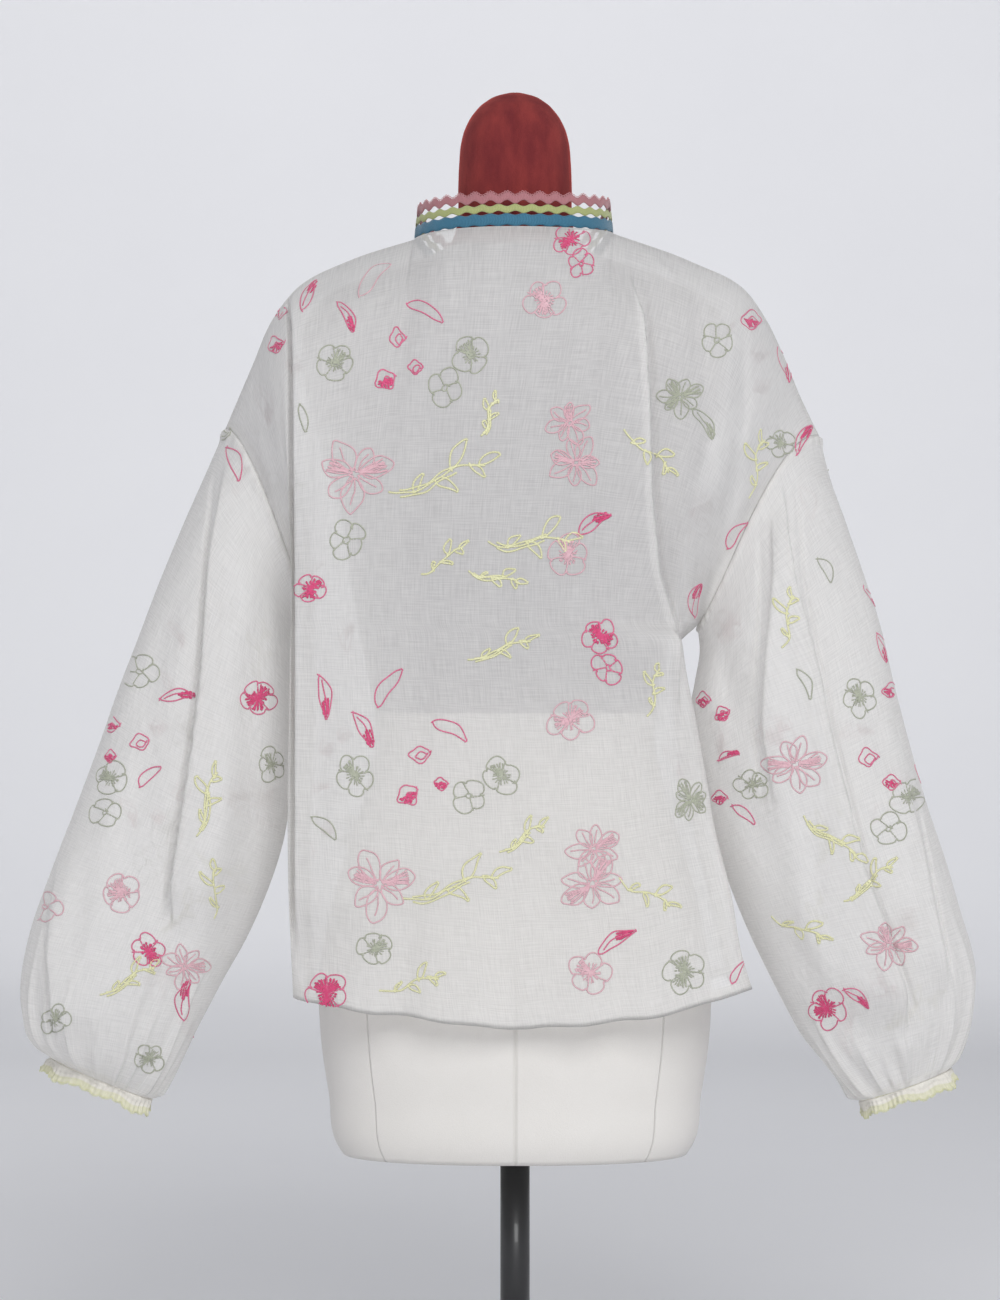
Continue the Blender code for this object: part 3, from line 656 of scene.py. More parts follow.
def top_edge(places, face):
    """A panel's upper edge: a shoulder seam, the neckline and the other shoulder seam."""
    edge = np.zeros((len(places), 3))
    for i, place in enumerate(places):
        if abs(place) <= NECK_SHARE + 1e-9:
            edge[i] = neckline(math.pi / 2 * (1 - place / NECK_SHARE), face)
            continue
        seam = np.array(SHOULDER_SEAMS["left" if place < 0 else "right"], float)
        walked = np.concatenate([[0], np.cumsum(np.hypot(*np.diff(seam, axis=0).T))])
        along = (1 - abs(place)) / (1 - NECK_SHARE) * walked[-1]
        edge[i] = (smooth(along, walked, seam[:, 0]), 0, smooth(along, walked, seam[:, 1]))
    return edge


def bow(side, angle):
    """How an armhole bows towards the neck, most in its upper half. The angle is 0 at the drop point."""
    ring = ARMHOLES[side]
    along = np.array([ring.drop_x - ring.under_x, 0, ring.drop_z - ring.under_z])
    across = np.cross(along, (0, 1, 0)) / np.linalg.norm(along)
    share = np.abs(np.sin(angle)) * (1 + np.cos(angle)) / 2
    return ring.bow * np.sign(across[2]) * np.multiply.outer(share, across)


def panel_rows(places, face):
    """The whole grid of a panel's points, row by row from the hem to the top edge."""
    below = [level_outline(rise, places, face) for rise in np.linspace(0, 1, ROWS_BELOW)]
    pit = below[-1]
    top = top_edge(places, face)
    chest = smooth(places, CHEST_AT, CHEST_DEPTH[face])
    # 1 at the armholes, where a panel must end on the ring, and 0 over most of its width
    edge = np.abs(places) ** ARMHOLE_POWER
    length = np.hypot(top[:, 0] - pit[:, 0], top[:, 2] - pit[:, 2])
    near_neck = ease(NECK_SPREAD - np.abs(places) / NECK_SHARE)
    rounding = SHOULDER_ROUNDING + (NECK_ROUNDING - SHOULDER_ROUNDING) * near_neck
    rounding = rounding + (length / 2 - rounding) * edge
    lower_rounding = UNDERARM_ROUNDING + (length / 2 - UNDERARM_ROUNDING) * edge
    above = []
    for step in range(1, ROWS_ABOVE + 1):
        v = (1 - math.cos(math.pi * step / ROWS_ABOVE)) / 2
        point = pit + (top - pit) * v
        # Away from the armholes the cloth starts straight up, and only then spreads to the shoulders
        spread = v * v * (2 - v) * (1 - edge) + v * edge
        point[:, 0] = pit[:, 0] + (top[:, 0] - pit[:, 0]) * spread
        turn = math.pi * (1 - step / ROWS_ABOVE)
        for side, columns in (("left", places < 0), ("right", places > 0)):
            point[columns] += edge[columns, None] * bow(side, turn)
        rise = v * length / lower_rounding
        blend = ease(rise) * (1 - edge) + quarter(rise) * edge
        depth = pit[:, 1] + (chest - pit[:, 1]) * blend
        point[:, 1] = top[:, 1] + (depth - top[:, 1]) * quarter((1 - v) * length / rounding)
        above.append(point)
    return np.array(below + above)


def folded(x, z, folds):
    """What the folds do at x, z: how far they lift the cloth out, and how far they push it sideways."""
    lift, push = np.zeros_like(x), np.zeros_like(x)
    for fold in folds:
        crest = np.array(fold.crest[::-1], float)
        side = -1 if fold.left < fold.right else 1
        edge = x - np.interp(z, crest[:, 1], crest[:, 0])
        offset = edge + side * fold.lap
        reach = np.where(offset < 0, fold.left, fold.right)
        share = ease((crest[-1, 1] - z) / fold.head)
        if fold.foot:
            share = share * ease((z - crest[0, 1]) / fold.foot)
        lift += fold.lift * np.exp(-((offset / reach) ** 2)) * share
        lift -= fold.groove * np.exp(-(((edge - side * GROOVE_AT) / GROOVE_WIDTH) ** 2)) * share
        on_steep = (offset < 0) == (side < 0)
        lapped = np.exp(-((offset / np.where(on_steep, LAP_EDGE, LAP_REACH)) ** 2))
        push += side * fold.lap * lapped * share
    return lift, push


def ripple(uv, seed, sizes, height):
    """Slight uneven waves over the cloth, made of cosines. sizes are the usual wave's, across and up."""
    wave = np.random.RandomState(seed)
    total = np.zeros(uv.shape[:-1])
    for _ in range(9):
        across, up = (wave.uniform(0.6, 1.8) * wave.choice([-1, 1]) * 2 * math.pi / size for size in sizes)
        total += np.cos(uv[..., 0] * across + uv[..., 1] * up + wave.uniform(0, 2 * math.pi))
    return height * total / 3


def outward(grid, flip, closed=False):
    """The unit normals of a grid of points, on its outer side."""
    if closed:
        around = np.roll(grid, -1, axis=1) - np.roll(grid, 1, axis=1)
    else:
        around = np.gradient(grid, axis=1)
    normal = np.cross(around, np.gradient(grid, axis=0))
    normal /= np.maximum(np.linalg.norm(normal, axis=-1, keepdims=True), 1e-9)
    return -normal if flip else normal


def turning(grid, normals, width, gap):
    """The cloth folded in along a grid's first row: rows from its cut edge to the fold, inside the cloth."""
    step = np.linalg.norm(np.diff(grid, axis=0), axis=2)
    walked = np.concatenate([np.zeros((1, grid.shape[1])), np.cumsum(step, axis=0)])
    at = np.arange(grid.shape[1])
    rows = []
    for share in TURNING_ROWS[:-1]:
        low = np.minimum((walked < share * width).sum(axis=0) - 1, len(step) - 1)
        part = ((share * width - walked[low, at]) / np.maximum(step[low, at], 1e-9))[:, None]
        rows.append(grid[low, at] + (grid[low + 1, at] - grid[low, at]) * part - normals[low, at] * gap)
    return np.array([*rows, grid[0]])


class Sheet:
    """A sheet of cloth put together from patches, which are grids of points with their UV."""

    def __init__(self):
        self.points, self.faces, self.uv = [], [], []

    def add(self, grid, uv, flip, closed=False):
        """Adds a patch."""
        start = sum(len(p) for p in self.points)
        rows, columns = grid.shape[:2]
        for face in grid_faces(rows, columns, closed, flip):
            self.faces.append(tuple(start + i for i in face))
        self.points.append(grid.reshape(-1, 3))
        self.uv.append(uv.reshape(-1, 2))

    def add_turning(self, grid, normals, uv, width, flip, closed=False, gap=TURNING_GAP):
        """Adds a turning along a grid's first row."""
        strip = turning(grid, normals, width, gap)
        down = np.array([[0, -width * share] for share in TURNING_ROWS])
        self.add(strip, uv[0][None] + down[:, None], flip, closed)

    def make(self, name, finish):
        """The sheet as one object, its patches joined where they meet."""
        made = add_piece(name, np.concatenate(self.points), self.faces, finish, np.concatenate(self.uv))
        shape = bmesh.new()
        shape.from_mesh(made.data)
        bmesh.ops.remove_doubles(shape, verts=shape.verts, dist=WELD)
        shape.to_mesh(made.data)
        shape.free()
        return made


def panel(face):
    """A panel's grid with its folds in, its normals and its UV in millimetres of cloth."""
    shoulder = np.linspace(-1, -NECK_SHARE, COLUMNS["shoulder"] + 1)
    neck = np.linspace(-NECK_SHARE, NECK_SHARE, COLUMNS["neck"] + 1)
    places = np.concatenate([shoulder, neck[1:], -shoulder[::-1][1:]])
    grid = panel_rows(places, face)
    front = face == "front"
    middle = grid[:, len(places) // 2]
    up = walk(middle)
    uv = np.stack(np.broadcast_arrays(places * HALF_CUT, up[:, None]), axis=-1)
    # The folds die out at the seams, so that the panels still meet there
    rows_left = np.arange(len(grid))[::-1]
    free = (1 - np.abs(places) ** FOLD_END_POWER) * ease(rows_left / FOLD_END_ROWS)[:, None]
    lift, push = folded(grid[:, :, 0], grid[:, :, 2], FOLDS[face])
    lift += ripple(uv, 3 + front, *BROAD_WAVES) + ripple(uv, 5 + front, *FINE_WAVES)
    grid[:, :, 1] += (1 if front else -1) * lift * free
    grid[:, :, 0] += push * free
    return grid, outward(grid, front), uv


# Cotton voile is a sheer plain weave of fine hard-twisted yarn: light passes between the yarns and through
# them, and slubs, thicker stretches of yarn, run both ways. The real yarns are 0.3 mm apart, too fine to
# show, so they are drawn 0.85 mm apart.
YARN = 0.85
SLUB_LENGTH = 22
# How much of the cloth's area its yarns cover, where the weave is most open and where it is closest
COVER_OPEN = 0.67
COVER_CLOSE = 0.82
# The share of the light on the yarns that goes on through them
GLOW = 0.3
voile, tree, shader = new_material(
    "Sheer white cotton voile",
    {"Base Color": linear("#f1f0ee"), "Roughness": 0.85, "Sheen Weight": 0.2},
)
uv_map = node(tree, "ShaderNodeUVMap", {"uv_map": "cloth"}).outputs[0]
yarns = []
for stretch in ((1 / YARN, 1 / SLUB_LENGTH, 1), (1 / SLUB_LENGTH, 1 / YARN, 1)):
    along = node(tree, "ShaderNodeMapping", {"Scale": [s / MM for s in stretch]}, {"Vector": uv_map})
    yarns.append(
        node(tree, "ShaderNodeTexNoise", {"Scale": 1.0, "Detail": 1}, {"Vector": along.outputs[0]})
    )
weave = node(
    tree, "ShaderNodeMath", {"operation": "ADD"}, {0: yarns[0].outputs[0], 1: yarns[1].outputs[0]}
)
cover = node(
    tree,
    "ShaderNodeMapRange",
    {"From Min": 0.7, "From Max": 1.3, "To Min": COVER_OPEN, "To Max": COVER_CLOSE},
    {"Value": weave.outputs[0]},
)
grain = node(
    tree, "ShaderNodeBump", {"Strength": 0.4, "Distance": 0.0004}, {"Height": weave.outputs[0]}
)
tree.links.new(grain.outputs[0], shader.inputs["Normal"])
glow = node(
    tree, "ShaderNodeBsdfTranslucent", {"Color": linear("#f6f4f1")}, {"Normal": grain.outputs[0]}
)
cloth = node(tree, "ShaderNodeMixShader", {0: GLOW}, {1: shader.outputs[0], 2: glow.outputs[0]})
open_weave = node(tree, "ShaderNodeBsdfTransparent")
sheer = node(
    tree,
    "ShaderNodeMixShader",
    links={0: cover.outputs[0], 1: open_weave.outputs[0], 2: cloth.outputs[0]},
)
tree.links.new(sheer.outputs[0], tree.nodes["Material Output"].inputs["Surface"])

cloth_grids = {}
back_grid, back_normals, back_uv = panel("back")
cloth_grids["back"] = (back_grid, False, False)
back_sheet = Sheet()
back_sheet.add(back_grid, back_uv, False)


def add_panel_turnings(sheet, grid, normals, uv, front):
    """The hem, and the turnings along the neckline, the shoulders, the side seams and the armholes."""
    # The hem is turned up twice, so three layers lie there
    sheet.add_turning(grid, normals, uv, HEM_TURNING, front)
    sheet.add_turning(grid, normals, uv, HEM_TURNING - 1, front, gap=2 * TURNING_GAP)
    sheet.add_turning(grid[::-1], normals[::-1], uv[::-1], SEAM_TURNING, not front)
    across, across_normals, across_uv = (a.transpose(1, 0, 2) for a in (grid, normals, uv))
    sheet.add_turning(across, across_normals, across_uv, SEAM_TURNING, not front)
    sheet.add_turning(across[::-1], across_normals[::-1], across_uv[::-1], SEAM_TURNING, front)


add_panel_turnings(back_sheet, back_grid, back_normals, back_uv, False)
back = back_sheet.make("back_panel", voile)
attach(back, "root")
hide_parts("back")

# The front: a panel like the back's, joined to it at the sides and shoulders, with a plain slit down from
# the neckline so that the head goes through. The slit's edges are turned in.
SLIT_LENGTH = 130
SLIT_HALF_GAP = 3
front_grid, front_normals, front_uv = panel("front")
cloth_grids["front"] = (front_grid, True, False)
rows, columns = front_grid.shape[:2]
centre = columns // 2
slit_foot = NECK_CENTRE_HEIGHT["front"] - SLIT_LENGTH
slit_rows = [row for row in range(rows) if front_grid[row, centre, 2] > slit_foot]
slit_gap = SLIT_HALF_GAP * ease(np.arange(1, len(slit_rows) + 1) / len(slit_rows))
lips = []
for side in (-1, 1):
    lip = front_grid.copy()
    lip[slit_rows, centre, 0] += side * slit_gap
    lips.append(lip)
front_sheet = Sheet()
front_sheet.add(lips[0][:, : centre + 1], front_uv[:, : centre + 1], True)
front_sheet.add(lips[1][:, centre:], front_uv[:, centre:], True)
for lip, inner, flip in ((lips[0], slice(centre, None, -1), True), (lips[1], slice(centre, None), False)):
    strip, strip_normals, strip_uv = (
        a[slit_rows][:, inner].transpose(1, 0, 2) for a in (lip, front_normals, front_uv)
    )
    front_sheet.add_turning(strip, strip_normals, strip_uv, SEAM_TURNING, flip)
add_panel_turnings(front_sheet, front_grid, front_normals, front_uv, True)
front = front_sheet.make("front_panel", voile)
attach(front, "root")
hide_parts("front")

# The sleeves: wide tubes of the same voile, set into the dropped armholes. They fall in long folds, blouse
# out over the wrists and are gathered tightly into the cuffs, so short pleats fan up from there.
SLEEVE_ROWS = 150
SLEEVE_COLUMNS = 288
SLEEVE_ROUNDNESS = 2.3
BOW_RINGS = 4
SLEEVE_HALF_CUT = 264
PLEATS = 21
PLEAT_LIFT = 11
PLEAT_RINGS = 3.8
# How far a pleat strays from its even place, and its width, as shares of the way to the next; and how
# much its length and its height differ from the usual
PLEAT_STRAY = 0.28
PLEAT_WIDTHS = (0.15, 0.3)
PLEAT_LENGTHS = (0.5, 1.7)
PLEAT_HEIGHTS = (0.6, 1.35)
# The ridge along the armhole seam: its height, how far down it lies and its width in rings, its puckers
SEAM_RIDGE = 2.2
RIDGE_AT = 0.13
RIDGE_WIDTH = 0.1
PUCKERS = 31
SLEEVE_BROAD_WAVES = ((70, 240), 1.3)
SLEEVE_FINE_WAVES = ((18, 40), 0.25)


class Ring(NamedTuple):
    """A section across a sleeve: its outer and inner edge in x and z, and its half depth."""

    outer_x: float
    outer_z: float
    inner_x: float
    inner_z: float
    reach: float


SLEEVES = {
    "left": (
        Ring(-246.5, 863.5, -172, 712, 60),
        Ring(-263.5, 825, -188, 700, 62),
        Ring(-282, 783, -189, 663, 64),
        Ring(-302, 734, -187, 624, 66),
        Ring(-320.5, 685, -188, 589, 68),
        Ring(-337, 642, -191, 553, 70),
        Ring(-353, 596, -197, 514, 72),
        Ring(-374, 540, -210, 473, 74),
        Ring(-395, 485, -228, 432, 74),
        Ring(-410.5, 438, -248, 396, 71),
        Ring(-418, 392, -266, 361, 64),
        Ring(-414, 358, -283, 330, 52),
        Ring(-405, 341, -297, 309, 38),
        Ring(-394, 331, -308, 295.5, 22),
    ),
    "right": (
        Ring(259, 857, 155, 698, 41),
        Ring(268, 822, 157, 674, 47),
        Ring(280.5, 787, 153, 650, 53),
        Ring(295, 744.5, 149, 624, 58),
        Ring(310, 698, 152, 594, 62),
        Ring(321, 651, 159, 560, 65),
        Ring(334, 600, 168, 521, 68),
        Ring(348.5, 549, 181, 481, 70),
        Ring(365.5, 498, 197, 441, 70),
        Ring(378, 455.5, 214, 405, 68),
        Ring(388.5, 421.5, 229, 375, 63),
        Ring(392, 396, 243, 349, 55),
        Ring(388, 368, 261, 326, 46),
        Ring(380, 342, 279, 307, 34),
        Ring(370, 322, 293, 294.5, 26),
    ),
}
FOLDS["left"] = (
    Fold(
        ((-250, 850), (-255, 760), (-261, 660), (-268, 598), (-280, 520), (-294, 430)),
        3, 52, 18, 25, 60, 9, 9,
    ),
    Fold(((-386, 540), (-392, 430), (-386, 345)), 3.5, 30, 11, 60, 30, 6, 6),
    Fold(((-232, 640), (-240, 540), (-262, 440), (-300, 360)), 20, 14, 6, 90, 90),
    Fold(((-214, 740), (-218, 640), (-226, 540)), 10, 12, -4, 70, 90),
    Fold(((-286, 740), (-304, 620), (-318, 500)), 12, 16, -4, 80, 100),
    Fold(((-330, 600), (-346, 500), (-352, 400)), 12, 14, 4, 80, 60),
    Fold(((-262, 520), (-284, 430), (-312, 350)), 9, 11, -4.5, 60, 30),
)
FOLDS["right"] = (
    Fold(((233, 830), (238, 738), (251, 668), (266, 594), (291, 493), (342, 350)), 48, 3, 18, 30, 50, 12, 4),
    Fold(((206, 800), (206, 700), (203, 620), (210, 530)), 3, 30, 14, 30, 80, 9, 5),
    Fold(((330, 580), (350, 470), (368, 380)), 24, 3.5, 10, 60, 50, 6, 6),
    Fold(((176, 700), (180, 620), (190, 540)), 8, 10, -4, 50, 70),
    Fold(((228, 640), (238, 540), (262, 440)), 10, 14, -4, 80, 70),
    Fold(((286, 700), (304, 600), (322, 510)), 12, 10, -3.5, 70, 90),
    Fold(((226, 520), (244, 440), (276, 360)), 9, 12, 4.5, 60, 40),
    Fold(((300, 470), (318, 400), (330, 340)), 9, 9, -4.5, 50, 20),
)


def sleeve(side):
    """A sleeve's grid from the armhole to the cuff, round from its outer edge, its normals and its UV."""
    rings = SLEEVES[side]
    index = np.arange(len(rings))
    at = np.linspace(0, len(rings) - 1, SLEEVE_ROWS)
    angle = np.linspace(0, 2 * math.pi, SLEEVE_COLUMNS, endpoint=False)
    outer = np.stack([smooth(at, index, column(rings, n)) for n in ("outer_x", "outer_z")], axis=-1)
    inner = np.stack([smooth(at, index, column(rings, n)) for n in ("inner_x", "inner_z")], axis=-1)
    reach = smooth(at, index, column(rings, "reach"))
    along = walk((outer + inner) / 2)
    half_round = SLEEVE_COLUMNS / 2
    around = (np.arange(SLEEVE_COLUMNS) - half_round) * SLEEVE_HALF_CUT / half_round
    uv = np.stack(np.broadcast_arrays(around, -along[:, None]), axis=-1)
    waves = ripple(uv, len(side), *SLEEVE_BROAD_WAVES) + ripple(uv, 9, *SLEEVE_FINE_WAVES)
    crowd = np.random.RandomState(len(rings))
    # Each pleat's way round, its width, how many rings it runs up and its height
    pleats = [
        (
            2 * math.pi * (k + crowd.uniform(-PLEAT_STRAY, PLEAT_STRAY)) / PLEATS,
            crowd.uniform(*PLEAT_WIDTHS) * 2 * math.pi / PLEATS,
            PLEAT_RINGS * crowd.uniform(*PLEAT_LENGTHS),
            PLEAT_LIFT * crowd.uniform(*PLEAT_HEIGHTS),
        )
        for k in range(PLEATS)
    ]
    grid = np.zeros((len(at), len(angle), 3))
    for row, ring_at in enumerate(at):
        from_end = len(rings) - 1 - ring_at
        # Round at the armhole and at the cuff, a little squarer between
        middle = ease(ring_at / 2) * ease(from_end / 2)
        roundness = 2 + (SLEEVE_ROUNDNESS - 2) * middle
        across = power(np.cos(angle), roundness)[:, None]
        centre = (outer[row] + inner[row]) / 2
        here = grid[row]
        here[:, [0, 2]] = centre + (outer[row] - inner[row]) / 2 * across
        here[:, 1] = -reach[row] * power(np.sin(angle), roundness)
        here += (1 - ease(ring_at / BOW_RINGS)) * bow(side, angle)
        lift, push = folded(here[:, 0], here[:, 2], FOLDS[side])
        here[:, 1] -= (lift + waves[row]) * np.sin(angle) * middle
        here[:, 0] += push * middle * np.abs(np.sin(angle))
        gather = np.zeros(len(angle))
        for turn, width, rings_up, height in pleats:
            off = np.abs((angle - turn + math.pi) % (2 * math.pi) - math.pi)
            run = ease(from_end * 1.8 + 0.3) * (1 - ease(from_end / rings_up))
            gather += height * np.exp(-((off / width) ** 2)) * run
        gather -= gather.mean()
        # The seam's turnings lie under the sleeve's head and make a narrow puckered ridge there
        ridge = math.exp(-(((ring_at - RIDGE_AT) / RIDGE_WIDTH) ** 2)) if from_end > 2 else 0.0
        gather += SEAM_RIDGE * ridge * (1 + 0.5 * np.cos(PUCKERS * angle + 2 * np.sin(5 * angle)))
        swell = 1 + gather / np.maximum(np.linalg.norm(outer[row] - inner[row]) / 2, reach[row])
        here[:, [0, 2]] = centre + (here[:, [0, 2]] - centre) * swell[:, None]
        here[:, 1] *= swell
    return grid, outward(grid, side == "left", True), uv


for side in ("left", "right"):
    grid, normals, uv = sleeve(side)
    flip = side == "left"
    cloth_grids[side] = (grid, flip, True)
    tube = Sheet()
    tube.add(grid, uv, flip, True)
    tube.add_turning(grid, normals, uv, SEAM_TURNING, flip, True)
    made = tube.make(f"sleeve_{side}_voile", voile)
    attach(made, "root")
    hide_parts(f"sleeve_{side}")

# The cuffs: narrow bands of the same voile, doubled and tightly gathered, that hold the sleeves' pleats.
# A cream and pale green scalloped edging is sewn along each, with a row of tiny thread loops below it.
CUFF_TOP = 0.8
CUFF_HEIGHT = 11
CUFF_WALL = 1.5
CUFF_GATHERS = 52
CUFF_GATHER_DEPTH = 0.75
CUFF_COLUMNS = 520
HALF_WALL = CUFF_WALL / 2
# The band's section, down its outside and up its inside: how far out each point stands from the wall's
# middle, and how far down it lies. The line of stitches sinks in 4.2 mm down.
CUFF_SECTION = (
    (HALF_WALL * 0.4, 0),
    (HALF_WALL, 0.6),
    (HALF_WALL, 3.6),
    (HALF_WALL - 0.55, 4.2),
    (HALF_WALL, 4.8),
    (HALF_WALL, 9.6),
    (HALF_WALL * 0.5, 10.8),
    (0, CUFF_HEIGHT),
    (-HALF_WALL, 10.2),
    (-HALF_WALL, 0.6),
    (-HALF_WALL * 0.4, 0),
)
# The cuff's usual radius, for its UV
CUFF_RADIUS = 30
# The gathers are held flat where the band joins the sleeve, and are free this far down
GATHERS_FREE = 3
# How far the band wavers in and out, in 7 and in 11 waves, and up and down, in 3 and in 8
CUFF_WAVER = (1.5, 0.9)
CUFF_SAG = (1.7, 1.3)
CUFF_RAISED = 0.6
# How far down the band the edging starts, and the edging's rows, stand, flare, scallops and thread
EDGING_TOP = 8.4
EDGING_ROWS = (0, 0.35, 0.7, 1)
EDGING_STAND = 0.5
EDGING_FLARE = 0.8
EDGING_SCALLOPS = 30
EDGING_REACH = 2.2
SCALLOP_ROUNDNESS = 0.7
SCALLOP_FLARE = 0.5
EDGING_THREAD = 0.9
EDGING_PATCH = 9
# Where the band's plain voile gives way to the edging's thread, from the one to the other
EDGED_FROM = 6.5
EDGED_TO = 7.5
LOOP_RADIUS = 0.85
THREAD_RADIUS = 0.3
LOOP_PITCH = 2.3

# Gathered voile, doubled, is nearly opaque and has a soft ribbed shade; its edging is matt green thread
cuff_voile, tree, shader = new_material(
    "Gathered voile with thread edging", {"Roughness": 0.85, "Sheen Weight": 0.2}
)
uv_map = node(tree, "ShaderNodeUVMap", {"uv_map": "cloth"}).outputs[0]
down = node(tree, "ShaderNodeSeparateXYZ", links={0: uv_map}).outputs[1]
place = node(tree, "ShaderNodeTexCoord").outputs["Object"]
thread = node(
    tree, "ShaderNodeTexNoise", {"Scale": 1 / (EDGING_THREAD * MM), "Detail": 3}, {"Vector": place}
)
patch = node(
    tree, "ShaderNodeTexNoise", {"Scale": 1 / (EDGING_PATCH * MM), "Detail": 2}, {"Vector": place}
)
edged = node(
    tree,
    "ShaderNodeMapRange",
    {"From Min": EDGED_FROM * MM, "From Max": EDGED_TO * MM},
    {"Value": down},
)
plain = node(
    tree,
    "ShaderNodeMix",
    {"data_type": "RGBA", 6: linear("#d9d5cb"), 7: linear("#efece4")},
    {0: thread.outputs[0]},
)
green = node(
    tree,
    "ShaderNodeMix",
    {"data_type": "RGBA", 6: linear("#d0d0ae"), 7: linear("#e9e6d4")},
    {0: patch.outputs[0]},
)
tone = node(
    tree,
    "ShaderNodeMix",
    {"data_type": "RGBA"},
    {0: edged.outputs[0], 6: plain.outputs[2], 7: green.outputs[2]},
)
bump = node(
    tree, "ShaderNodeBump", {"Strength": 0.6, "Distance": 0.0006}, {"Height": thread.outputs[0]}
)
tree.links.new(tone.outputs[2], shader.inputs["Base Color"])
tree.links.new(bump.outputs[0], shader.inputs["Normal"])


# How far apart a thread's shades and its twists lie
THREAD_SHADE = 4
THREAD_TWIST = 0.5


def thread_material(name, dark, light, sheen):
    """Stranded cotton: matt, with a sheen from its twist, and a shade that shifts from stitch to stitch."""
    made, tree, shader = new_material(
        name, {"Roughness": 0.62, "Sheen Weight": sheen, "Sheen Roughness": 0.4}
    )
    place = node(tree, "ShaderNodeTexCoord").outputs["Object"]
    shade = node(
        tree, "ShaderNodeTexNoise", {"Scale": 1 / (THREAD_SHADE * MM), "Detail": 2}, {"Vector": place}
    )
    twist = node(
        tree, "ShaderNodeTexNoise", {"Scale": 1 / (THREAD_TWIST * MM), "Detail": 2}, {"Vector": place}
    )
    tone = node(
        tree,
        "ShaderNodeMix",
        {"data_type": "RGBA", 6: linear(dark), 7: linear(light)},
        {0: shade.outputs[0]},
    )
    bump = node(
        tree, "ShaderNodeBump", {"Strength": 0.4, "Distance": 0.0003}, {"Height": twist.outputs[0]}
    )
    tree.links.new(tone.outputs[2], shader.inputs["Base Color"])
    tree.links.new(bump.outputs[0], shader.inputs["Normal"])
    return made


def thread_group(name, sizes):
    """A node group that lays a thread shape at even steps along polylines. sizes are its named inputs.

    Returns the group, its inputs, and a function that is given the shape and how it is turned and scaled.
    """
    tree = bpy.data.node_groups.new(name, "GeometryNodeTree")
    tree.interface.new_socket(name="Lines", in_out="INPUT", socket_type="NodeSocketGeometry")
    for size, value in sizes.items():
        socket = tree.interface.new_socket(name=size, in_out="INPUT", socket_type="NodeSocketFloat")
        socket.default_value = value
    tree.interface.new_socket(name="Thread", in_out="INPUT", socket_type="NodeSocketMaterial")
    tree.interface.new_socket(name="Threads", in_out="OUTPUT", socket_type="NodeSocketGeometry")
    given = node(tree, "NodeGroupInput").outputs
    curve = node(tree, "GeometryNodeMeshToCurve", links={0: given["Lines"]})
    spaced = node(
        tree,
        "GeometryNodeResampleCurve",
        {"mode": "LENGTH"},
        {"Curve": curve.outputs[0], "Length": given["Pitch"]},
    )
    stand = node(
        tree, "GeometryNodeInputNamedAttribute", {"data_type": "FLOAT_VECTOR", "Name": "stand"}
    )
    tangent = node(tree, "GeometryNodeInputTangent")

    def lay(shape, along_axis, out_axis, scale=None):
        """Lays the shape, with one of its axes along the line and another up from the cloth."""
        run = node(
            tree,
            "FunctionNodeAlignRotationToVector",
            {"axis": along_axis},
            {"Vector": tangent.outputs[0]},
        )
        stood = node(
            tree,
            "FunctionNodeAlignRotationToVector",
            {"axis": out_axis, "pivot_axis": along_axis},
            {"Rotation": run.outputs[0], "Vector": stand.outputs[0]},
        )
        links = {"Points": spaced.outputs[0], "Instance": shape, "Rotation": stood.outputs[0]}
        if scale is not None:
            links["Scale"] = scale
        laid = node(tree, "GeometryNodeInstanceOnPoints", links=links)
        real = node(tree, "GeometryNodeRealizeInstances", links={0: laid.outputs[0]})
        even = node(tree, "GeometryNodeSetShadeSmooth", links={0: real.outputs[0]})
        dyed = node(
            tree, "GeometryNodeSetMaterial", links={0: even.outputs[0], "Material": given["Thread"]}
        )
        node(tree, "NodeGroupOutput", links={0: dyed.outputs[0]})

    return tree, given, lay


def add_threads(name, group, lines, sizes, finish):
    """Runs a thread group along lines, each a pair of points and of the directions they stand up in."""
    mesh = bpy.data.meshes.new(name)
    counts = np.cumsum([0] + [len(points) for points, _ in lines])
    edges = [(i, i + 1) for start, end in zip(counts, counts[1:]) for i in range(start, end - 1)]
    mesh.from_pydata((np.concatenate([p for p, _ in lines]) * MM).tolist(), edges, [])
    stand = mesh.attributes.new("stand", "FLOAT_VECTOR", "POINT")
    stand.data.foreach_set("vector", np.concatenate([s for _, s in lines]).astype(np.float32).ravel())
    made = bpy.data.objects.new(name, mesh)
    bpy.context.scene.collection.objects.link(made)
    layer = made.modifiers.new("Threads", "NODES")
    layer.node_group = group
    for socket in group.interface.items_tree:
        if socket.in_out == "INPUT" and socket.name in sizes:
            layer[socket.identifier] = sizes[socket.name] * MM
        if socket.in_out == "INPUT" and socket.name == "Thread":
            layer[socket.identifier] = finish
    state = bpy.context.evaluated_depsgraph_get()
    made.data = bpy.data.meshes.new_from_object(made.evaluated_get(state), depsgraph=state)
    made.modifiers.clear()
    return made


loop_group, given, lay = thread_group(
    "Row of thread loops",
    {"Pitch": LOOP_PITCH * MM, "Loop radius": LOOP_RADIUS * MM, "Thread radius": THREAD_RADIUS * MM},
)
ring = node(
    loop_group, "GeometryNodeCurvePrimitiveCircle", {"Resolution": 8}, {"Radius": given["Loop radius"]}
)
strand = node(
    loop_group,
    "GeometryNodeCurvePrimitiveCircle",
    {"Resolution": 4},
    {"Radius": given["Thread radius"]},
)
loop = node(
    loop_group,
    "GeometryNodeCurveToMesh",
    links={"Curve": ring.outputs[0], "Profile Curve": strand.outputs[0]},
)
lay(loop.outputs[0], "X", "Z")

lime_thread = thread_material("Lime stranded cotton", "#cfd09a", "#e5e5bf", 0.35)


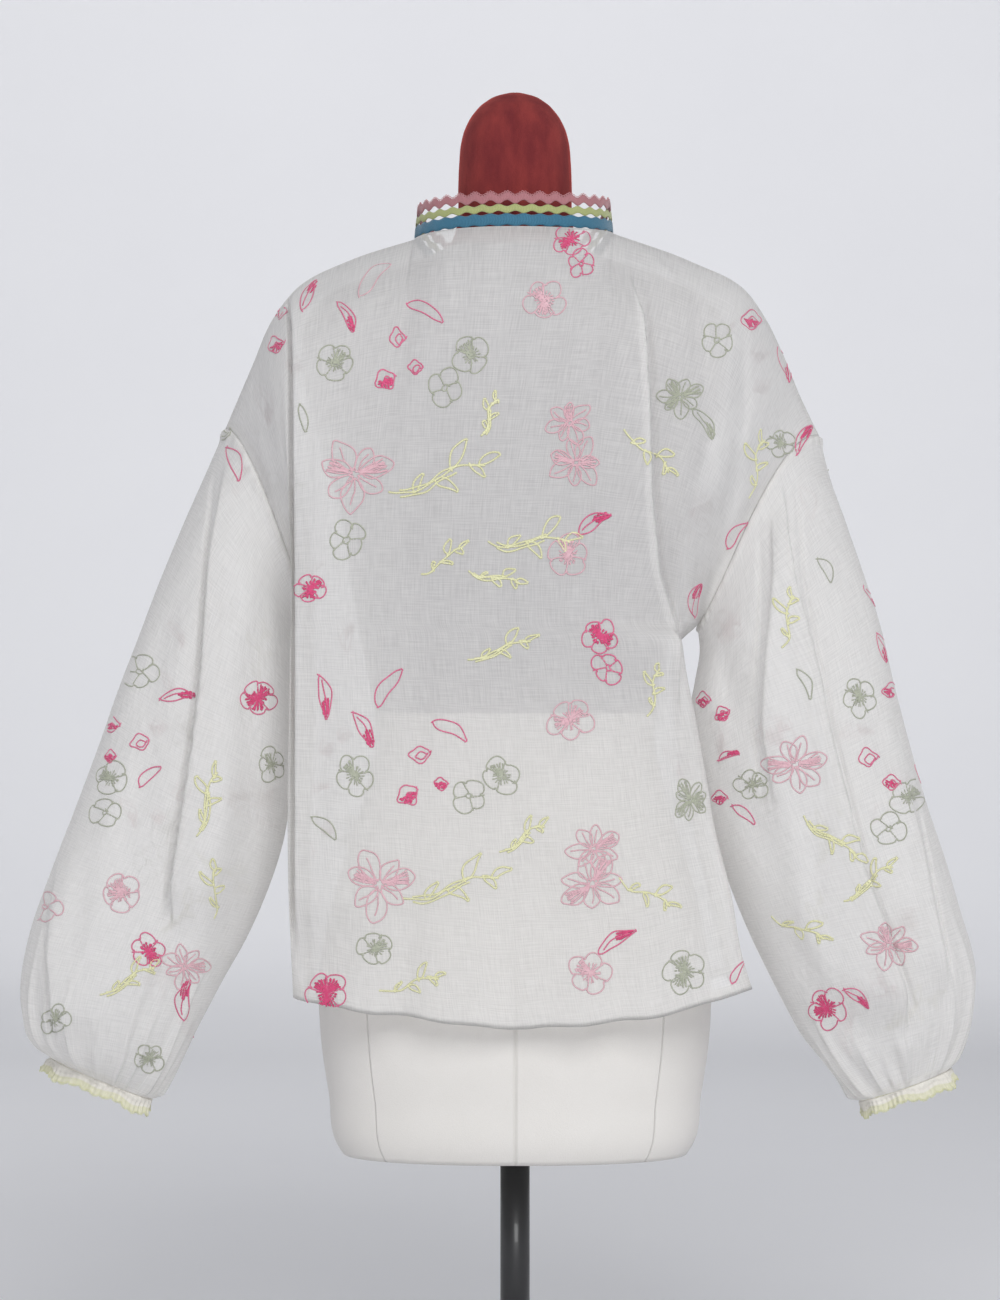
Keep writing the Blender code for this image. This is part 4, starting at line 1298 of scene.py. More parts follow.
def cuff_ring(side, columns):
    """A sleeve's end ring: its points, the way out from its centre, and the way down out of the sleeve."""
    last = SLEEVES[side][-1]
    across = np.array([last.outer_x - last.inner_x, 0, last.outer_z - last.inner_z]) / 2
    centre = np.array([last.outer_x + last.inner_x, 0, last.outer_z + last.inner_z]) / 2
    down = np.cross(across, (0, 1, 0))
    down *= -np.sign(down[2]) / np.linalg.norm(down)
    angle = np.linspace(0, 2 * math.pi, columns, endpoint=False)[:, None]
    deep = np.array([0, -last.reach, 0])
    points = centre + across * np.cos(angle) + deep * np.sin(angle)
    long_side = np.linalg.norm(across)
    out = across / long_side * last.reach * np.cos(angle) + deep / last.reach * long_side * np.sin(angle)
    return points, out / np.linalg.norm(out, axis=1, keepdims=True), down


for side in ("left", "right"):
    ring_points, out, down = cuff_ring(side, CUFF_COLUMNS)
    turn = np.linspace(0, 2 * math.pi, CUFF_COLUMNS, endpoint=False)
    wander = np.random.RandomState(len(side) + 20).uniform(0, 2 * math.pi, 3)
    gathers = CUFF_GATHER_DEPTH * np.cos(CUFF_GATHERS * turn + 1.5 * np.sin(3 * turn + wander[0]))
    gathers *= 0.75 + 0.25 * np.cos(5 * turn + wander[1])
    gathers += CUFF_WAVER[0] * np.cos(7 * turn + wander[2]) + CUFF_WAVER[1] * np.cos(11 * turn + wander[0])
    sag = CUFF_SAG[0] * np.cos(3 * turn + wander[1]) + CUFF_SAG[1] * np.cos(8 * turn + wander[2])
    sag -= CUFF_RAISED
    rows, uv = [], []
    for reach, drop in (*CUFF_SECTION, CUFF_SECTION[0]):
        free = ease(drop / GATHERS_FREE)
        place_down = CUFF_TOP + drop + sag * free
        rows.append(ring_points + out * (reach + gathers * free)[:, None] + down * place_down[:, None])
        uv.append(np.stack([turn * CUFF_RADIUS, np.full(CUFF_COLUMNS, drop)], axis=-1))
    band = Sheet()
    band.add(np.array(rows), np.array(uv), side == "left", True)
    cuff = band.make(f"cuff_{side}_band", cuff_voile)
    # The edging: a row of scallops that hangs from the band's lower part
    scallop = np.abs(np.sin(EDGING_SCALLOPS / 2 * turn)) ** SCALLOP_ROUNDNESS
    rows, uv = [], []
    for share in EDGING_ROWS:
        drop = EDGING_TOP + share * (CUFF_HEIGHT - EDGING_TOP + EDGING_REACH * scallop)
        flare = HALF_WALL + EDGING_STAND + gathers + EDGING_FLARE * share + SCALLOP_FLARE * share * scallop
        rows.append(ring_points + out * flare[:, None] + down * (CUFF_TOP + drop + sag)[:, None])
        uv.append(np.stack([turn * CUFF_RADIUS, drop], axis=-1))
    edging = Sheet()
    edging.add(np.array(rows), np.array(uv), side == "left", True)
    frill = edging.make(f"cuff_{side}_edging", cuff_voile)
    rim = np.concatenate([rows[-1], rows[-1][:1]])
    stand = np.concatenate([out, out[:1]])
    loops = add_threads(f"cuff_{side}_loops", loop_group, [(rim, stand)], {}, lime_thread)
    for piece in (cuff, frill, loops):
        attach(piece, "root")
        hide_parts(f"cuff_{side}")

# The collar: three rows of zigzag cotton braid, blue, lime green and dusty pink, that stand on the neckline
# and are sewn to each other only where their waves touch, so there is a row of holes between each two.
BRAID_PERIODS = 35
BRAID_STEPS = 16
BRAID_SIDES = 12
BRAID_ROUNDNESS = 3
BRAID_WALL = 1.3
BRAID_RIB = 1.3
BRAID_SLANT = 0.8
BRAID_FUZZ = 0.8
FUZZ_SHARE = 0.45
COLLAR_LEAN = 0.1
COLLAR_LIFT = 1.55
COLLAR_HALF_GAP = 4
NECKLINE_STEPS = 2401
PICOT_LIFT = 0.35


class Braid(NamedTuple):
    """A wavy braid: its width, how far its waves rise, its middle's height above the neckline, its phase."""

    width: float
    wave: float
    height: float
    phase: float


BRAIDS = {
    "collar_blue": Braid(9.8, 0.7, 3.8, 0),
    "collar_green": Braid(6.0, 1.0, 13.25, math.pi),
    "collar_pink": Braid(6.8, 1.55, 22.2, 0),
}


def collar_line(periods):
    """The neckline, evenly spaced from the centre front round by the back, and the way out from it."""
    turn = np.linspace(math.pi / 2, -3 * math.pi / 2, NECKLINE_STEPS)
    fine = np.where((np.sin(turn) > 0)[:, None], neckline(turn, "front"), neckline(-turn, "back"))
    walked = walk(fine)
    at = np.linspace(COLLAR_HALF_GAP, walked[-1] - COLLAR_HALF_GAP, periods * BRAID_STEPS + 1)
    points = np.stack([np.interp(at, walked, fine[:, i]) for i in range(3)], axis=-1)
    run = np.gradient(points, axis=0)
    out = np.cross(run, (0, 0, 1))
    return at, points, -out / np.linalg.norm(out, axis=1, keepdims=True)


def collar_at(points, height):
    """The neckline's points moved up the collar, which leans in a little."""
    scale = 1 - COLLAR_LEAN * height / NECK_HALF_WIDTH
    raised = points.copy()
    raised[:, 0] = NECK_X + (points[:, 0] - NECK_X) * scale
    raised[:, 1] = points[:, 1] * scale
    raised[:, 2] += height + COLLAR_LIFT
    return raised


def braid_material(name, dark, light):
    """Plaited cotton braid: slanting ribs, painted darker in their grooves as painted shade and lighter on
    their backs as a painted sheen.
    """
    made, tree, shader = new_material(
        name, {"Roughness": 0.75, "Sheen Weight": 0.3, "Sheen Roughness": 0.4}
    )
    uv = node(tree, "ShaderNodeUVMap", {"uv_map": "cloth"}).outputs[0]
    ribs = (1 / (BRAID_RIB * MM), BRAID_SLANT / (BRAID_RIB * MM), 0)
    slant = node(tree, "ShaderNodeVectorMath", {"operation": "DOT_PRODUCT", 1: ribs}, {0: uv})
    half_wave = node(
        tree, "ShaderNodeMath", {"operation": "PINGPONG", 1: 0.5}, {0: slant.outputs["Value"]}
    )
    rib = node(tree, "ShaderNodeMapRange", {"From Max": 0.5}, {"Value": half_wave.outputs[0]})
    place = node(tree, "ShaderNodeTexCoord").outputs["Object"]
    fuzz = node(
        tree, "ShaderNodeTexNoise", {"Scale": 1 / (BRAID_FUZZ * MM), "Detail": 3}, {"Vector": place}
    )
    mixed = node(
        tree,
        "ShaderNodeMix",
        {"data_type": "FLOAT", 0: FUZZ_SHARE},
        {2: rib.outputs[0], 3: fuzz.outputs[0]},
    )
    # Painted shade and highlight: the ribs' colour runs from dark in their grooves to light on their backs,
    # mixed with fuzz
    tone = node(
        tree,
        "ShaderNodeMix",
        {"data_type": "RGBA", 6: linear(dark), 7: linear(light)},
        {0: mixed.outputs[0]},
    )
    bump = node(
        tree, "ShaderNodeBump", {"Strength": 0.7, "Distance": 0.0006}, {"Height": mixed.outputs[0]}
    )
    tree.links.new(tone.outputs[2], shader.inputs["Base Color"])
    tree.links.new(bump.outputs[0], shader.inputs["Normal"])
    return made


braid_finishes = {
    "collar_blue": braid_material("Blue plaited cotton braid", "#24566f", "#4383a0"),
    "collar_green": braid_material("Lime plaited cotton braid", "#8f965c", "#bcc285"),
    "collar_pink": braid_material("Dusty pink plaited cotton braid", "#965a60", "#bd868b"),
}
walked, neck_points, neck_out = collar_line(BRAID_PERIODS)
wave_turn = 2 * math.pi * BRAID_PERIODS * (walked - walked[0]) / (walked[-1] - walked[0])
round_braid = np.linspace(0, 2 * math.pi, BRAID_SIDES, endpoint=False)
for name, braid in BRAIDS.items():
    middle = braid.height + braid.wave * np.cos(wave_turn + braid.phase)
    rows = []
    for t in round_braid:
        up = braid.width / 2 * power(np.sin(t), BRAID_ROUNDNESS)
        thick = BRAID_WALL / 2 * power(np.cos(t), BRAID_ROUNDNESS)
        rows.append(collar_at(neck_points, middle + up) + neck_out * thick)
    rows.append(rows[0])
    grid = np.array(rows).transpose(1, 0, 2)
    drawn = braid.width * (1 - np.cos(np.linspace(0, 2 * math.pi, len(rows)))) / 2
    uv = np.stack(np.broadcast_arrays(walked[:, None], drawn[None]), axis=-1)
    strip = Sheet()
    strip.add(grid, uv, False)
    last = (len(walked) - 1) * (BRAID_SIDES + 1)
    strip.faces += [tuple(range(BRAID_SIDES)), tuple(range(last, last + BRAID_SIDES))[::-1]]
    made = strip.make(f"{name}_braid", braid_finishes[name])
    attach(made, "root")
    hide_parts(name)

pink = BRAIDS["collar_pink"]
pink_top = pink.height + pink.wave * np.cos(wave_turn + pink.phase) + pink.width / 2 + PICOT_LIFT
pink_edge = collar_at(neck_points, pink_top)
pink_thread = thread_material("Dusty pink stranded cotton", "#b57378", "#d59ba0", 0.35)
picots = add_threads("collar_pink_picots", loop_group, [(pink_edge, neck_out)], {}, pink_thread)
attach(picots, "root")

# The embroidery: outlined flowers, leaves and buds in backstitch, with a few petals filled in long satin
# stitches, in deep pink, rose, pale pink, sage and pale lime cotton, by hand on the flat cloth.
STITCH_PITCH = 2.3
STITCH_LENGTH = 3.3
STITCH_WIDTH = 1.85
STITCH_RISE = 0.7
STITCH_LIFT = 0.35
LINE_STEP = 1.6
FILL_SPACING = 0.8
# A fan's stitches are that far apart at this share of its reach
FILL_AT = 0.7
HAND_WANDER = 0.7
# How much narrower and wider than drawn a motif may be, each way
SQUEEZE_LEAST = (0.86, 0.86)
SQUEEZE_MOST = (1.08, 1.08)
# A line of stitches breaks where its points jump by more than so many steps
JUMP_STEPS = 3.5
SCATTER_SEED = 11

stitch_group, given, lay = thread_group(
    "Backstitches",
    {
        "Pitch": STITCH_PITCH * MM,
        "Length": STITCH_LENGTH * MM,
        "Width": STITCH_WIDTH * MM,
        "Rise": STITCH_RISE * MM,
    },
)
bead = node(stitch_group, "GeometryNodeMeshUVSphere", {"Segments": 4, "Rings": 3, "Radius": 0.5})
stitch_scale = node(
    stitch_group,
    "ShaderNodeCombineXYZ",
    links={0: given["Width"], 1: given["Rise"], 2: given["Length"]},
)
lay(bead.outputs[0], "Z", "Y", stitch_scale.outputs[0])

# Each thread's cotton, and its stitches' width as a share of the usual
THREADS = {
    "deep_pink": (thread_material("Deep pink stranded cotton", "#d4527d", "#ea86a7", 0.4), 0.8),
    "rose": (thread_material("Rose stranded cotton", "#cb2f65", "#e25a8b", 0.4), 1.1),
    "pale_pink": (thread_material("Pale pink stranded cotton", "#d8a6b1", "#e8c6cc", 0.4), 0.85),
    "sage": (thread_material("Sage stranded cotton", "#9fa38f", "#c0c3b1", 0.4), 0.75),
    "lime": (thread_material("Pale lime stranded cotton", "#dcdba6", "#ebeac4", 0.4), 1.15),
}


def turned(points, turn):
    """Points of a flat motif, turned by so many degrees."""
    c, s = math.cos(math.radians(turn)), math.sin(math.radians(turn))
    return np.asarray(points, float) @ np.array([[c, s], [-s, c]])


def fan(reach, start, end, heart):
    """Long satin stitches that spread from a flower's heart, between two angles in degrees."""
    count = max(3, int(math.radians(end - start) * reach * FILL_AT / FILL_SPACING))
    rays = [(math.cos(a), math.sin(a)) for a in np.radians(np.linspace(start, end, count))]
    return [np.array([[heart * x, heart * z], [reach * x, reach * z]]) for x, z in rays]


def leaf(size, filled=False, width=0.3):
    """A pointed leaf that bends a little, some with a rib and satin stitches towards one end."""
    t = np.linspace(0, 2 * math.pi, 41)
    along = -np.cos(t) / 2
    half = np.sin(t) * np.abs(np.sin(t)) ** 0.5 * width / 2 * (1 + 0.25 * np.cos(t))
    bend = 0.1 * (1 - (2 * along) ** 2)
    lines, filling = [np.stack([along, half + bend], axis=-1) * size], []
    if filled:
        for offset in (-0.08, -0.045, -0.01, 0.025, 0.06):
            run = np.linspace(0.02 + 1.5 * abs(offset), 0.45 - abs(offset) * 1.5, 12)
            filling.append(np.stack([run, offset + 0.1 * (1 - (2 * run) ** 2)], axis=-1) * size)
        rib = np.linspace(-0.35, 0.3, 12)
        lines.append(np.stack([rib, 0.1 * (1 - (2 * rib) ** 2)], axis=-1) * size)
    return lines, filling


def bud(size, filled=True):
    """A square bud with a smaller ring in it."""
    t = np.linspace(0, 2 * math.pi, 25)
    rings = [np.stack([np.cos(t), np.sin(t)], axis=-1) * (1 + 0.14 * np.cos(4 * t))[:, None] * size / 2]
    rings.append(rings[0] * 0.48 + np.array([0.08, -0.1]) * size)
    return rings, (fan(size * 0.34, 170, 350, 0.3) if filled else [])


def flower(size, petals=5, filled=(0,), heart=0.16):
    """A round flower: scalloped petals, the lines between them, and some petals filled near the heart."""
    reach = size / 2
    t = np.linspace(0, 2 * math.pi, 20 * petals + 1)
    lobe = np.minimum(petals * t // (2 * math.pi), petals - 1)
    uneven = 1 + 0.3 * np.sin(2.9 * lobe + size)
    radius = reach * (0.66 + 0.27 * uneven * np.abs(np.sin(petals * t / 2)) ** 0.5)
    lines = [np.stack([np.cos(t), np.sin(t)], axis=-1) * radius[:, None]]
    for k in range(petals):
        a = 2 * math.pi * k / petals
        ray = np.linspace(heart * reach * 1.3, 0.74 * reach, 8)
        lines.append(np.stack([ray * math.cos(a + 0.1), ray * math.sin(a - 0.05)], axis=-1))
    ring = np.linspace(0, 2 * math.pi, 13)
    lines.append(np.stack([np.cos(ring), np.sin(ring)], axis=-1) * heart * reach)
    # A loose fan round the heart, and a closer one in each filled petal
    filling = fan(reach * 0.36, 0, 345, 0.3)[::2] if filled else []
    for k in filled:
        filling += fan(reach * 0.6, (k + 0.12) * 360 / petals, (k + 0.88) * 360 / petals, heart * reach)
    return lines, filling


def pair(size, petals=4, filled=(1,)):
    """Two flowers side by side that touch."""
    shift = np.array([0.2, 0.26]) * size
    upper, filling = ([line + shift for line in lines] for lines in flower(size * 0.62, petals, filled))
    lower = [turned(line, 35) - shift * (0.5, 1) for line in flower(size * 0.58, petals, ())[0]]
    return upper + lower, filling


def lily(size, petals=7, filled=(0, 3)):
    """A large open flower of long pointed petals, uneven in length, each with a rib."""
    lines, filling = [], []
    for k in range(petals):
        length = size / 2 * (0.88 + 0.12 * math.cos(2.4 * k + size))
        turn = 360 * k / petals + 8 * math.sin(3.1 * k + size)
        t = np.linspace(0, math.pi * 2, 31)
        along = (1 - np.cos(t)) / 2
        half = np.sin(t) * np.sqrt(np.abs(np.sin(t))) * 0.27
        petal = np.stack([0.12 + 0.88 * along, half], axis=-1) * length
        rib = np.array([[0.15, 0], [0.45, 0.03], [0.75, 0]]) * length
        lines += [turned(petal, turn), turned(rib, turn)]
        if k in filled:
            filling += fan(length * 0.76, turn - 13, turn + 13, 0.1 * size)
    return lines, filling


def sprig(size, filled=True):
    """A branching stem with narrow leaves, and a few stitches grouped along it."""
    run = np.linspace(-0.5, 0.5, 22)
    stem = np.stack([run, 0.1 * np.sin(5 * run)], axis=-1)
    lines, filling = [stem * size], []
    for at, turn, length in ((5, 50, 0.22), (10, -35, 0.26), (14, 55, 0.34), (18, -50, 0.2), (20, 20, 0.24)):
        for blade in leaf(length, False, 0.34)[0]:
            lines.append((turned(blade + (length / 2, 0), turn) + stem[at]) * size)
    if filled:
        for shift in (-0.035, 0.035):
            filling.append((stem[2:15] + (0.02, shift)) * size)
    return lines, filling


# Where each motif lies, seen from behind: its shape, its thread, its middle's x and z, its size, its turn,
# and whether it is filled, or which of its petals are
BACK_MOTIFS = (
    (leaf, "deep_pink", -174, 978, 32, 65, True),
    (leaf, "deep_pink", -144, 959, 33, -62, True),
    (leaf, "pale_pink", -119, 991, 38, 48, False),
    (leaf, "deep_pink", -76, 963, 33, -28, False),
    (leaf, "deep_pink", 68, 783, 38, 32, True),
    (bud, "deep_pink", -100, 942, 15, 5, False),
    (bud, "deep_pink", -110, 906, 17, 30, True),
    (bud, "deep_pink", -85, 917, 12, 0, False),
    (flower, "sage", -153, 921, 38, 20, (0,)),
    (pair, "sage", -51, 914, 56, -10, (1,)),
    (flower, "sage", -143, 770, 34, 70, ()),
    (lily, "sage", 140, 892, 44, 20, (0, 2, 4)),
    (leaf, "sage", 160, 868, 30, -55, True),
    (lily, "pale_pink", -136, 826, 70, 12, (0, 3)),
    (lily, "pale_pink", 46, 870, 44, 40, (1,)),
    (lily, "pale_pink", 52, 836, 54, 5, (0, 3)),
    (flower, "pale_pink", 25, 974, 40, 15, (1, 3)),
    (flower, "pale_pink", 45, 757, 38, 50, (0,)),
    (flower, "deep_pink", -174, 729, 29, 10, (0, 3)),
    (flower, "deep_pink", 48, 1026, 34, 30, (2,)),
    (flower, "deep_pink", 56, 1005, 26, 60, ()),
    (flower, "deep_pink", 72, 688, 34, 15, (1, 4)),
    (flower, "deep_pink", 79, 661, 30, 45, ()),
    (sprig, "lime", -66, 822, 90, 8, True),
    (sprig, "lime", -22, 874, 36, 60, True),
    (sprig, "lime", 12, 768, 70, -8, True),
    (sprig, "lime", -62, 752, 44, 25, False),
    (sprig, "lime", -14, 676, 50, 10, True),
    (sprig, "lime", 112, 846, 50, -50, False),
    (leaf, "deep_pink", -164, 636, 38, -82, True),
    (leaf, "deep_pink", -130, 608, 34, -62, True),
    (leaf, "deep_pink", -106, 644, 37, 55, False),
    (leaf, "deep_pink", -55, 607, 32, -28, False),
    (leaf, "deep_pink", 87, 428, 36, 32, True),
    (leaf, "sage", -163, 525, 30, -42, False),
    (bud, "deep_pink", -81, 588, 15, 8, False),
    (bud, "deep_pink", -91, 553, 17, 35, True),
    (bud, "deep_pink", -63, 563, 12, 0, True),
    (flower, "sage", -136, 570, 38, 20, (1,)),
    (pair, "sage", -28, 562, 58, -25, (1,)),
    (flower, "sage", -119, 423, 36, 65, (4,)),
    (lily, "sage", 149, 549, 40, 10, (0, 2, 4, 6)),
    (flower, "sage", 144, 403, 38, 0, (1, 3)),
    (flower, "pale_pink", 47, 617, 40, 20, (0, 2)),
    (lily, "pale_pink", -115, 477, 70, 8, (0, 3)),
    (lily, "pale_pink", 67, 508, 50, 30, (0,)),
    (lily, "pale_pink", 66, 478, 60, 12, (1, 4)),
    (flower, "pale_pink", 64, 402, 42, 40, (1,)),
    (flower, "deep_pink", -160, 385, 38, 15, (0, 1, 3)),
    (sprig, "lime", -55, 474, 80, 5, True),
    (sprig, "lime", 6, 516, 46, 25, True),
    (sprig, "lime", -18, 738, 40, -20, True),
    (sprig, "lime", -90, 392, 54, 5, False),
    (sprig, "lime", 110, 470, 50, -35, False),
    (sprig, "lime", 118, 640, 44, 70, False),
    (leaf, "deep_pink", 190, 402, 24, 60, False),
    (bud, "deep_pink", -201, 964, 12, 0, True),
    (bud, "deep_pink", -203, 936, 13, 20, True),
    (bud, "sage", -249, 862, 15, 0, False),
    (leaf, "deep_pink", -240, 834, 34, -72, False),
    (leaf, "sage", -181, 873, 24, -80, False),
    (bud, "deep_pink", 201, 957, 15, 0, True),
    (leaf, "deep_pink", 228, 919, 34, -74, True),
    (flower, "sage", 226, 852, 26, 0, (1,)),
    (leaf, "deep_pink", 246, 855, 27, 62, True),
    (flower, "sage", 172, 940, 32, 20, ()),
    (leaf, "deep_pink", 189, 774, 30, 52, False),
    (leaf, "deep_pink", 155, 719, 30, 78, True),
    (sprig, "lime", 205, 830, 50, 70, False),
    (flower, "sage", -319, 658, 34, 30, ()),
    (pair, "sage", -348, 552, 52, 20, (1,)),
    (flower, "sage", -207, 579, 30, 0, (1,)),
    (flower, "sage", -391, 362, 27, 40, (0,)),
    (flower, "sage", -311, 329, 28, 10, (0, 2)),
    (leaf, "deep_pink", -286, 636, 32, 6, True),
    (leaf, "deep_pink", -310, 568, 28, 42, False),
    (leaf, "deep_pink", -279, 379, 38, 82, True),
    (bud, "deep_pink", -319, 598, 15, 15, False),
    (bud, "deep_pink", -343, 613, 13, 0, True),
    (bud, "deep_pink", -344, 586, 11, 0, True),
    (flower, "deep_pink", -218, 636, 35, 15, (0, 2, 3)),
    (flower, "deep_pink", -312, 421, 32, 50, (3,)),
    (flower, "pale_pink", -334, 470, 38, 10, (1, 2)),
    (lily, "pale_pink", -281, 408, 44, 0, (0,)),
    (flower, "pale_pink", -399, 458, 28, 30, ()),
    (sprig, "lime", -262, 545, 60, 65, True),
    (sprig, "lime", -350, 700, 50, 40, False),
    (sprig, "lime", -330, 395, 50, 20, True),
    (sprig, "lime", -255, 470, 44, 80, False),
    (flower, "sage", 293, 636, 36, 10, (1,)),
    (pair, "sage", 323, 538, 54, 0, (0,)),
    (leaf, "sage", 246, 647, 26, -66, False),
    (flower, "sage", 201, 562, 28, 0, (0,)),
    (leaf, "sage", 263, 744, 26, -60, False),
    (bud, "deep_pink", 300, 585, 15, 10, False),
    (bud, "deep_pink", 320, 564, 12, 0, True),
    (bud, "deep_pink", 160, 634, 13, 0, True),
    (bud, "deep_pink", 176, 622, 12, 30, True),
    (leaf, "deep_pink", 182, 586, 18, 20, True),
    (bud, "deep_pink", 174, 551, 12, 0, True),
    (leaf, "deep_pink", 194, 536, 24, -40, False),
    (lily, "pale_pink", 238, 579, 62, 18, (0, 3)),
    (lily, "pale_pink", 317, 426, 50, 0, (0, 2)),
    (flower, "deep_pink", 266, 372, 38, 20, (1, 2)),
    (leaf, "deep_pink", 290, 380, 30, -38, True),
    (leaf, "deep_pink", 302, 721, 24, -62, True),
    (leaf, "deep_pink", 311, 678, 24, -72, True),
    (bud, "deep_pink", 319, 642, 13, 0, True),
    (leaf, "deep_pink", 345, 566, 26, -66, True),
    (sprig, "lime", 268, 517, 56, -45, True),
    (sprig, "lime", 232, 700, 50, 70, False),
    (sprig, "lime", 300, 478, 50, 30, True),
    (sprig, "lime", 240, 440, 46, -30, False),
)
# The front has the same motifs, turned round and shifted so far
FRONT_SHIFT = (10, -32)
# The filling is in the motif's own thread, save that of the deep pink ones
FILL_THREADS = {"deep_pink": "rose"}
RAY_START = 1000
# The motifs on the back and the sleeves are placed as they are seen from the camera
CAMERA_PLACE = (-12.75, -3200, 676.5)

panel_trees = {}
for name, (grid, flip, closed) in cloth_grids.items():
    rows, columns = grid.shape[:2]
    faces = grid_faces(rows, columns, closed, flip)
    panel_trees[name] = BVHTree.FromPolygons(grid.reshape(-1, 3).tolist(), faces)


def laid_on_cloth(line, names, from_behind):
    """Lays a flat line on the cloth that is seen first, and gives the runs of it on each panel."""
    runs, last = [], None
    for x, z in line:
        if from_behind:
            start = Vector(CAMERA_PLACE)
            aim = (Vector((x, 0, z)) - start).normalized()
        else:
            start, aim = Vector((x, RAY_START, z)), Vector((0, -1, 0))
        hits = []
        for name in names:
            place, normal, _, distance = panel_trees[name].ray_cast(start, aim)
            if place is not None:
                hits.append((distance, place, normal, name))
        if not hits:
            last = None
            continue
        _, place, normal, name = min(hits, key=lambda hit: hit[0])
        if normal.dot(aim) > 0:
            normal = -normal
        lifted = place + normal * STITCH_LIFT
        if last is None or runs[-1][0] != name or (lifted - last).length > JUMP_STEPS * LINE_STEP:
            runs.append((name, [], []))
        runs[-1][1].append(tuple(lifted))
        runs[-1][2].append(tuple(normal))
        last = lifted
    return [run for run in runs if len(run[1]) > 1]


def even(line, wander):
    """A line with points every LINE_STEP, which strays a little as a hand-worked one does."""
    walked = walk(line)
    at = np.linspace(0, walked[-1], max(2, int(walked[-1] / LINE_STEP) + 1))
    stray = np.stack([np.cos(at / 5 + wander[0]), np.sin(at / 4 + wander[1])], axis=-1) * HAND_WANDER
    return np.stack([np.interp(at, walked, line[:, i]) for i in range(2)], axis=-1) + stray


hand = np.random.RandomState(SCATTER_SEED)
stitched = {}
for from_behind, names in ((True, ("back", "left", "right")), (False, ("front", "left", "right"))):
    for shape, thread, x, z, size, turn, filled in BACK_MOTIFS:
        middle = np.array([x, z] if from_behind else [FRONT_SHIFT[0] - x, z + FRONT_SHIFT[1]], float)
        outline, filling = shape(size, filled=filled)
        squeeze = hand.uniform(SQUEEZE_LEAST, SQUEEZE_MOST)
        fill_thread = FILL_THREADS.get(thread, thread)
        for line, used in [(k, thread) for k in outline] + [(k, fill_thread) for k in filling]:
            flat = even(turned(line * squeeze, turn), hand.uniform(0, 2 * math.pi, 2)) + middle
            for name, points, stands in laid_on_cloth(flat, names, from_behind):
                stitched.setdefault((name, used), []).append((np.array(points), np.array(stands)))
worked = {}
for (name, thread), lines in stitched.items():
    finish, weight = THREADS[thread]
    sizes = {"Width": STITCH_WIDTH * weight, "Rise": STITCH_RISE * weight}
    work = add_threads(f"embroidery_{name}_{thread}", stitch_group, lines, sizes, finish)
    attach(work, "root")
    worked.setdefault(name, []).append(work)

# The floor, plain pale paper that curves up all round at a distance, stands for a studio and isn't part of
# the object.
FLOOR_FLAT = 5200
FLOOR_CURVE = 3000
FLOOR_RIM = 3400
FLOOR_SIDES = 96
FLOOR_STEPS = 25
MOTTLES_PER_METRE = 1.2
paper, tree, shader = new_material("Pale studio paper", {"Roughness": 0.9})
place = node(tree, "ShaderNodeTexCoord").outputs["Object"]
mottle = node(tree, "ShaderNodeTexNoise", {"Scale": MOTTLES_PER_METRE, "Detail": 3}, {"Vector": place})
tone = node(
    tree,
    "ShaderNodeMix",
    {"data_type": "RGBA", 6: linear("#efeff2"), 7: linear("#f4f4f6")},
    {0: mottle.outputs[0]},
)
tree.links.new(tone.outputs[2], shader.inputs["Base Color"])
turns = np.radians(np.linspace(-90, 0, FLOOR_STEPS))
floor_line = [
    (FLOOR_FLAT / 2, 0),
    *[(FLOOR_FLAT + FLOOR_CURVE * math.cos(t), FLOOR_CURVE * (1 + math.sin(t))) for t in turns],
    (FLOOR_FLAT + FLOOR_CURVE, FLOOR_RIM),
]
faces = grid_faces(len(floor_line), FLOOR_SIDES, True, True) + [tuple(range(FLOOR_SIDES))]
floor = add_piece("studio_floor", np.concatenate(turned_rings(floor_line, FLOOR_SIDES)), faces, paper)
floor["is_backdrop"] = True

# The light: a wide soft box high on the right in front, a weaker one on the far side, pale light all round,
# and four lights that wash the floor's rim.
WORLD_STRENGTH = 0.45
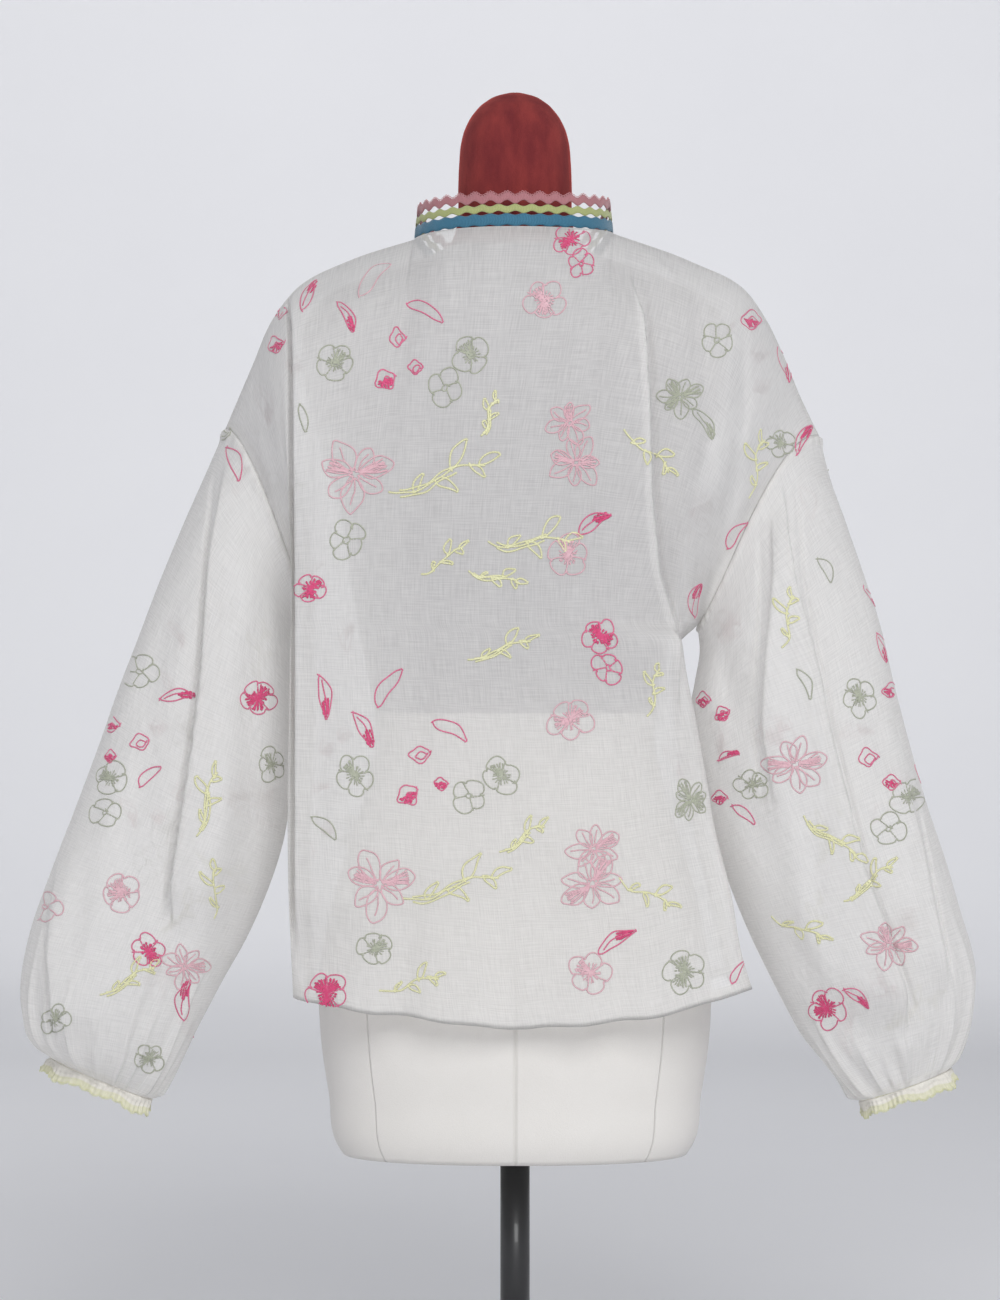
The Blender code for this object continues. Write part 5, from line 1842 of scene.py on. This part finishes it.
# Each soft box's size, watts and place. Both face the blouse's middle.
SOFT_BOXES = {
    "key_light": ((1600, 1600), 61, (500, -2900, 2300)),
    "far_light": ((1800, 1800), 15, (-900, 2900, 2400)),
}
SOFT_BOX_AIM = (0, 0, 700)
RIM_LIGHTS = 4
RIM_LIGHT_SIZE = (3400, 1200)
RIM_LIGHT_PLACE = 3800
RIM_LIGHT_HEIGHT = 3300
RIM_LIGHT_AIM = 2300
RIM_LIGHT_WATTS = 69
world = bpy.data.worlds.new("Studio")
bpy.context.scene.world = world
world.use_nodes = True
world.node_tree.nodes["Background"].inputs["Color"].default_value = linear("#eef0f4")
world.node_tree.nodes["Background"].inputs["Strength"].default_value = WORLD_STRENGTH


def add_soft_box(name, size, watts, place, target):
    """An area light that faces its target."""
    light = bpy.data.lights.new(name, "AREA")
    light.shape = "RECTANGLE"
    light.size, light.size_y = (s * MM for s in size)
    light.energy = watts
    made = bpy.data.objects.new(name, light)
    made.location = Vector(place) * MM
    made.rotation_euler = (Vector(target) - Vector(place)).to_track_quat("-Z", "Y").to_euler()
    bpy.context.scene.collection.objects.link(made)


for name, (size, watts, place) in SOFT_BOXES.items():
    add_soft_box(name, size, watts, place, SOFT_BOX_AIM)
for k in range(RIM_LIGHTS):
    x, y = round(math.cos(k * math.pi / 2)), round(math.sin(k * math.pi / 2))
    place = (x * RIM_LIGHT_PLACE, y * RIM_LIGHT_PLACE, RIM_LIGHT_HEIGHT)
    aim = (x * (FLOOR_FLAT + FLOOR_CURVE), y * (FLOOR_FLAT + FLOOR_CURVE), RIM_LIGHT_AIM)
    add_soft_box(f"rim_light_{k}", RIM_LIGHT_SIZE, RIM_LIGHT_WATTS, place, aim)
bpy.context.scene.view_settings.view_transform = "Standard"

# The camera stands level, 3.2 m behind the blouse, at about its middle height. The frame's height is in
# millimetres at the form.
FRAME_HEIGHT = 1105
SENSOR_HEIGHT = 36
lens = bpy.data.cameras.new("Camera")
lens.sensor_fit = "VERTICAL"
lens.sensor_height = SENSOR_HEIGHT
lens.lens = SENSOR_HEIGHT * -CAMERA_PLACE[1] / FRAME_HEIGHT
camera = bpy.data.objects.new("Camera", lens)
camera.location = Vector(CAMERA_PLACE) * MM
camera.rotation_euler = (math.pi / 2, 0, 0)
bpy.context.scene.collection.objects.link(camera)
bpy.context.scene.camera = camera

low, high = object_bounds()
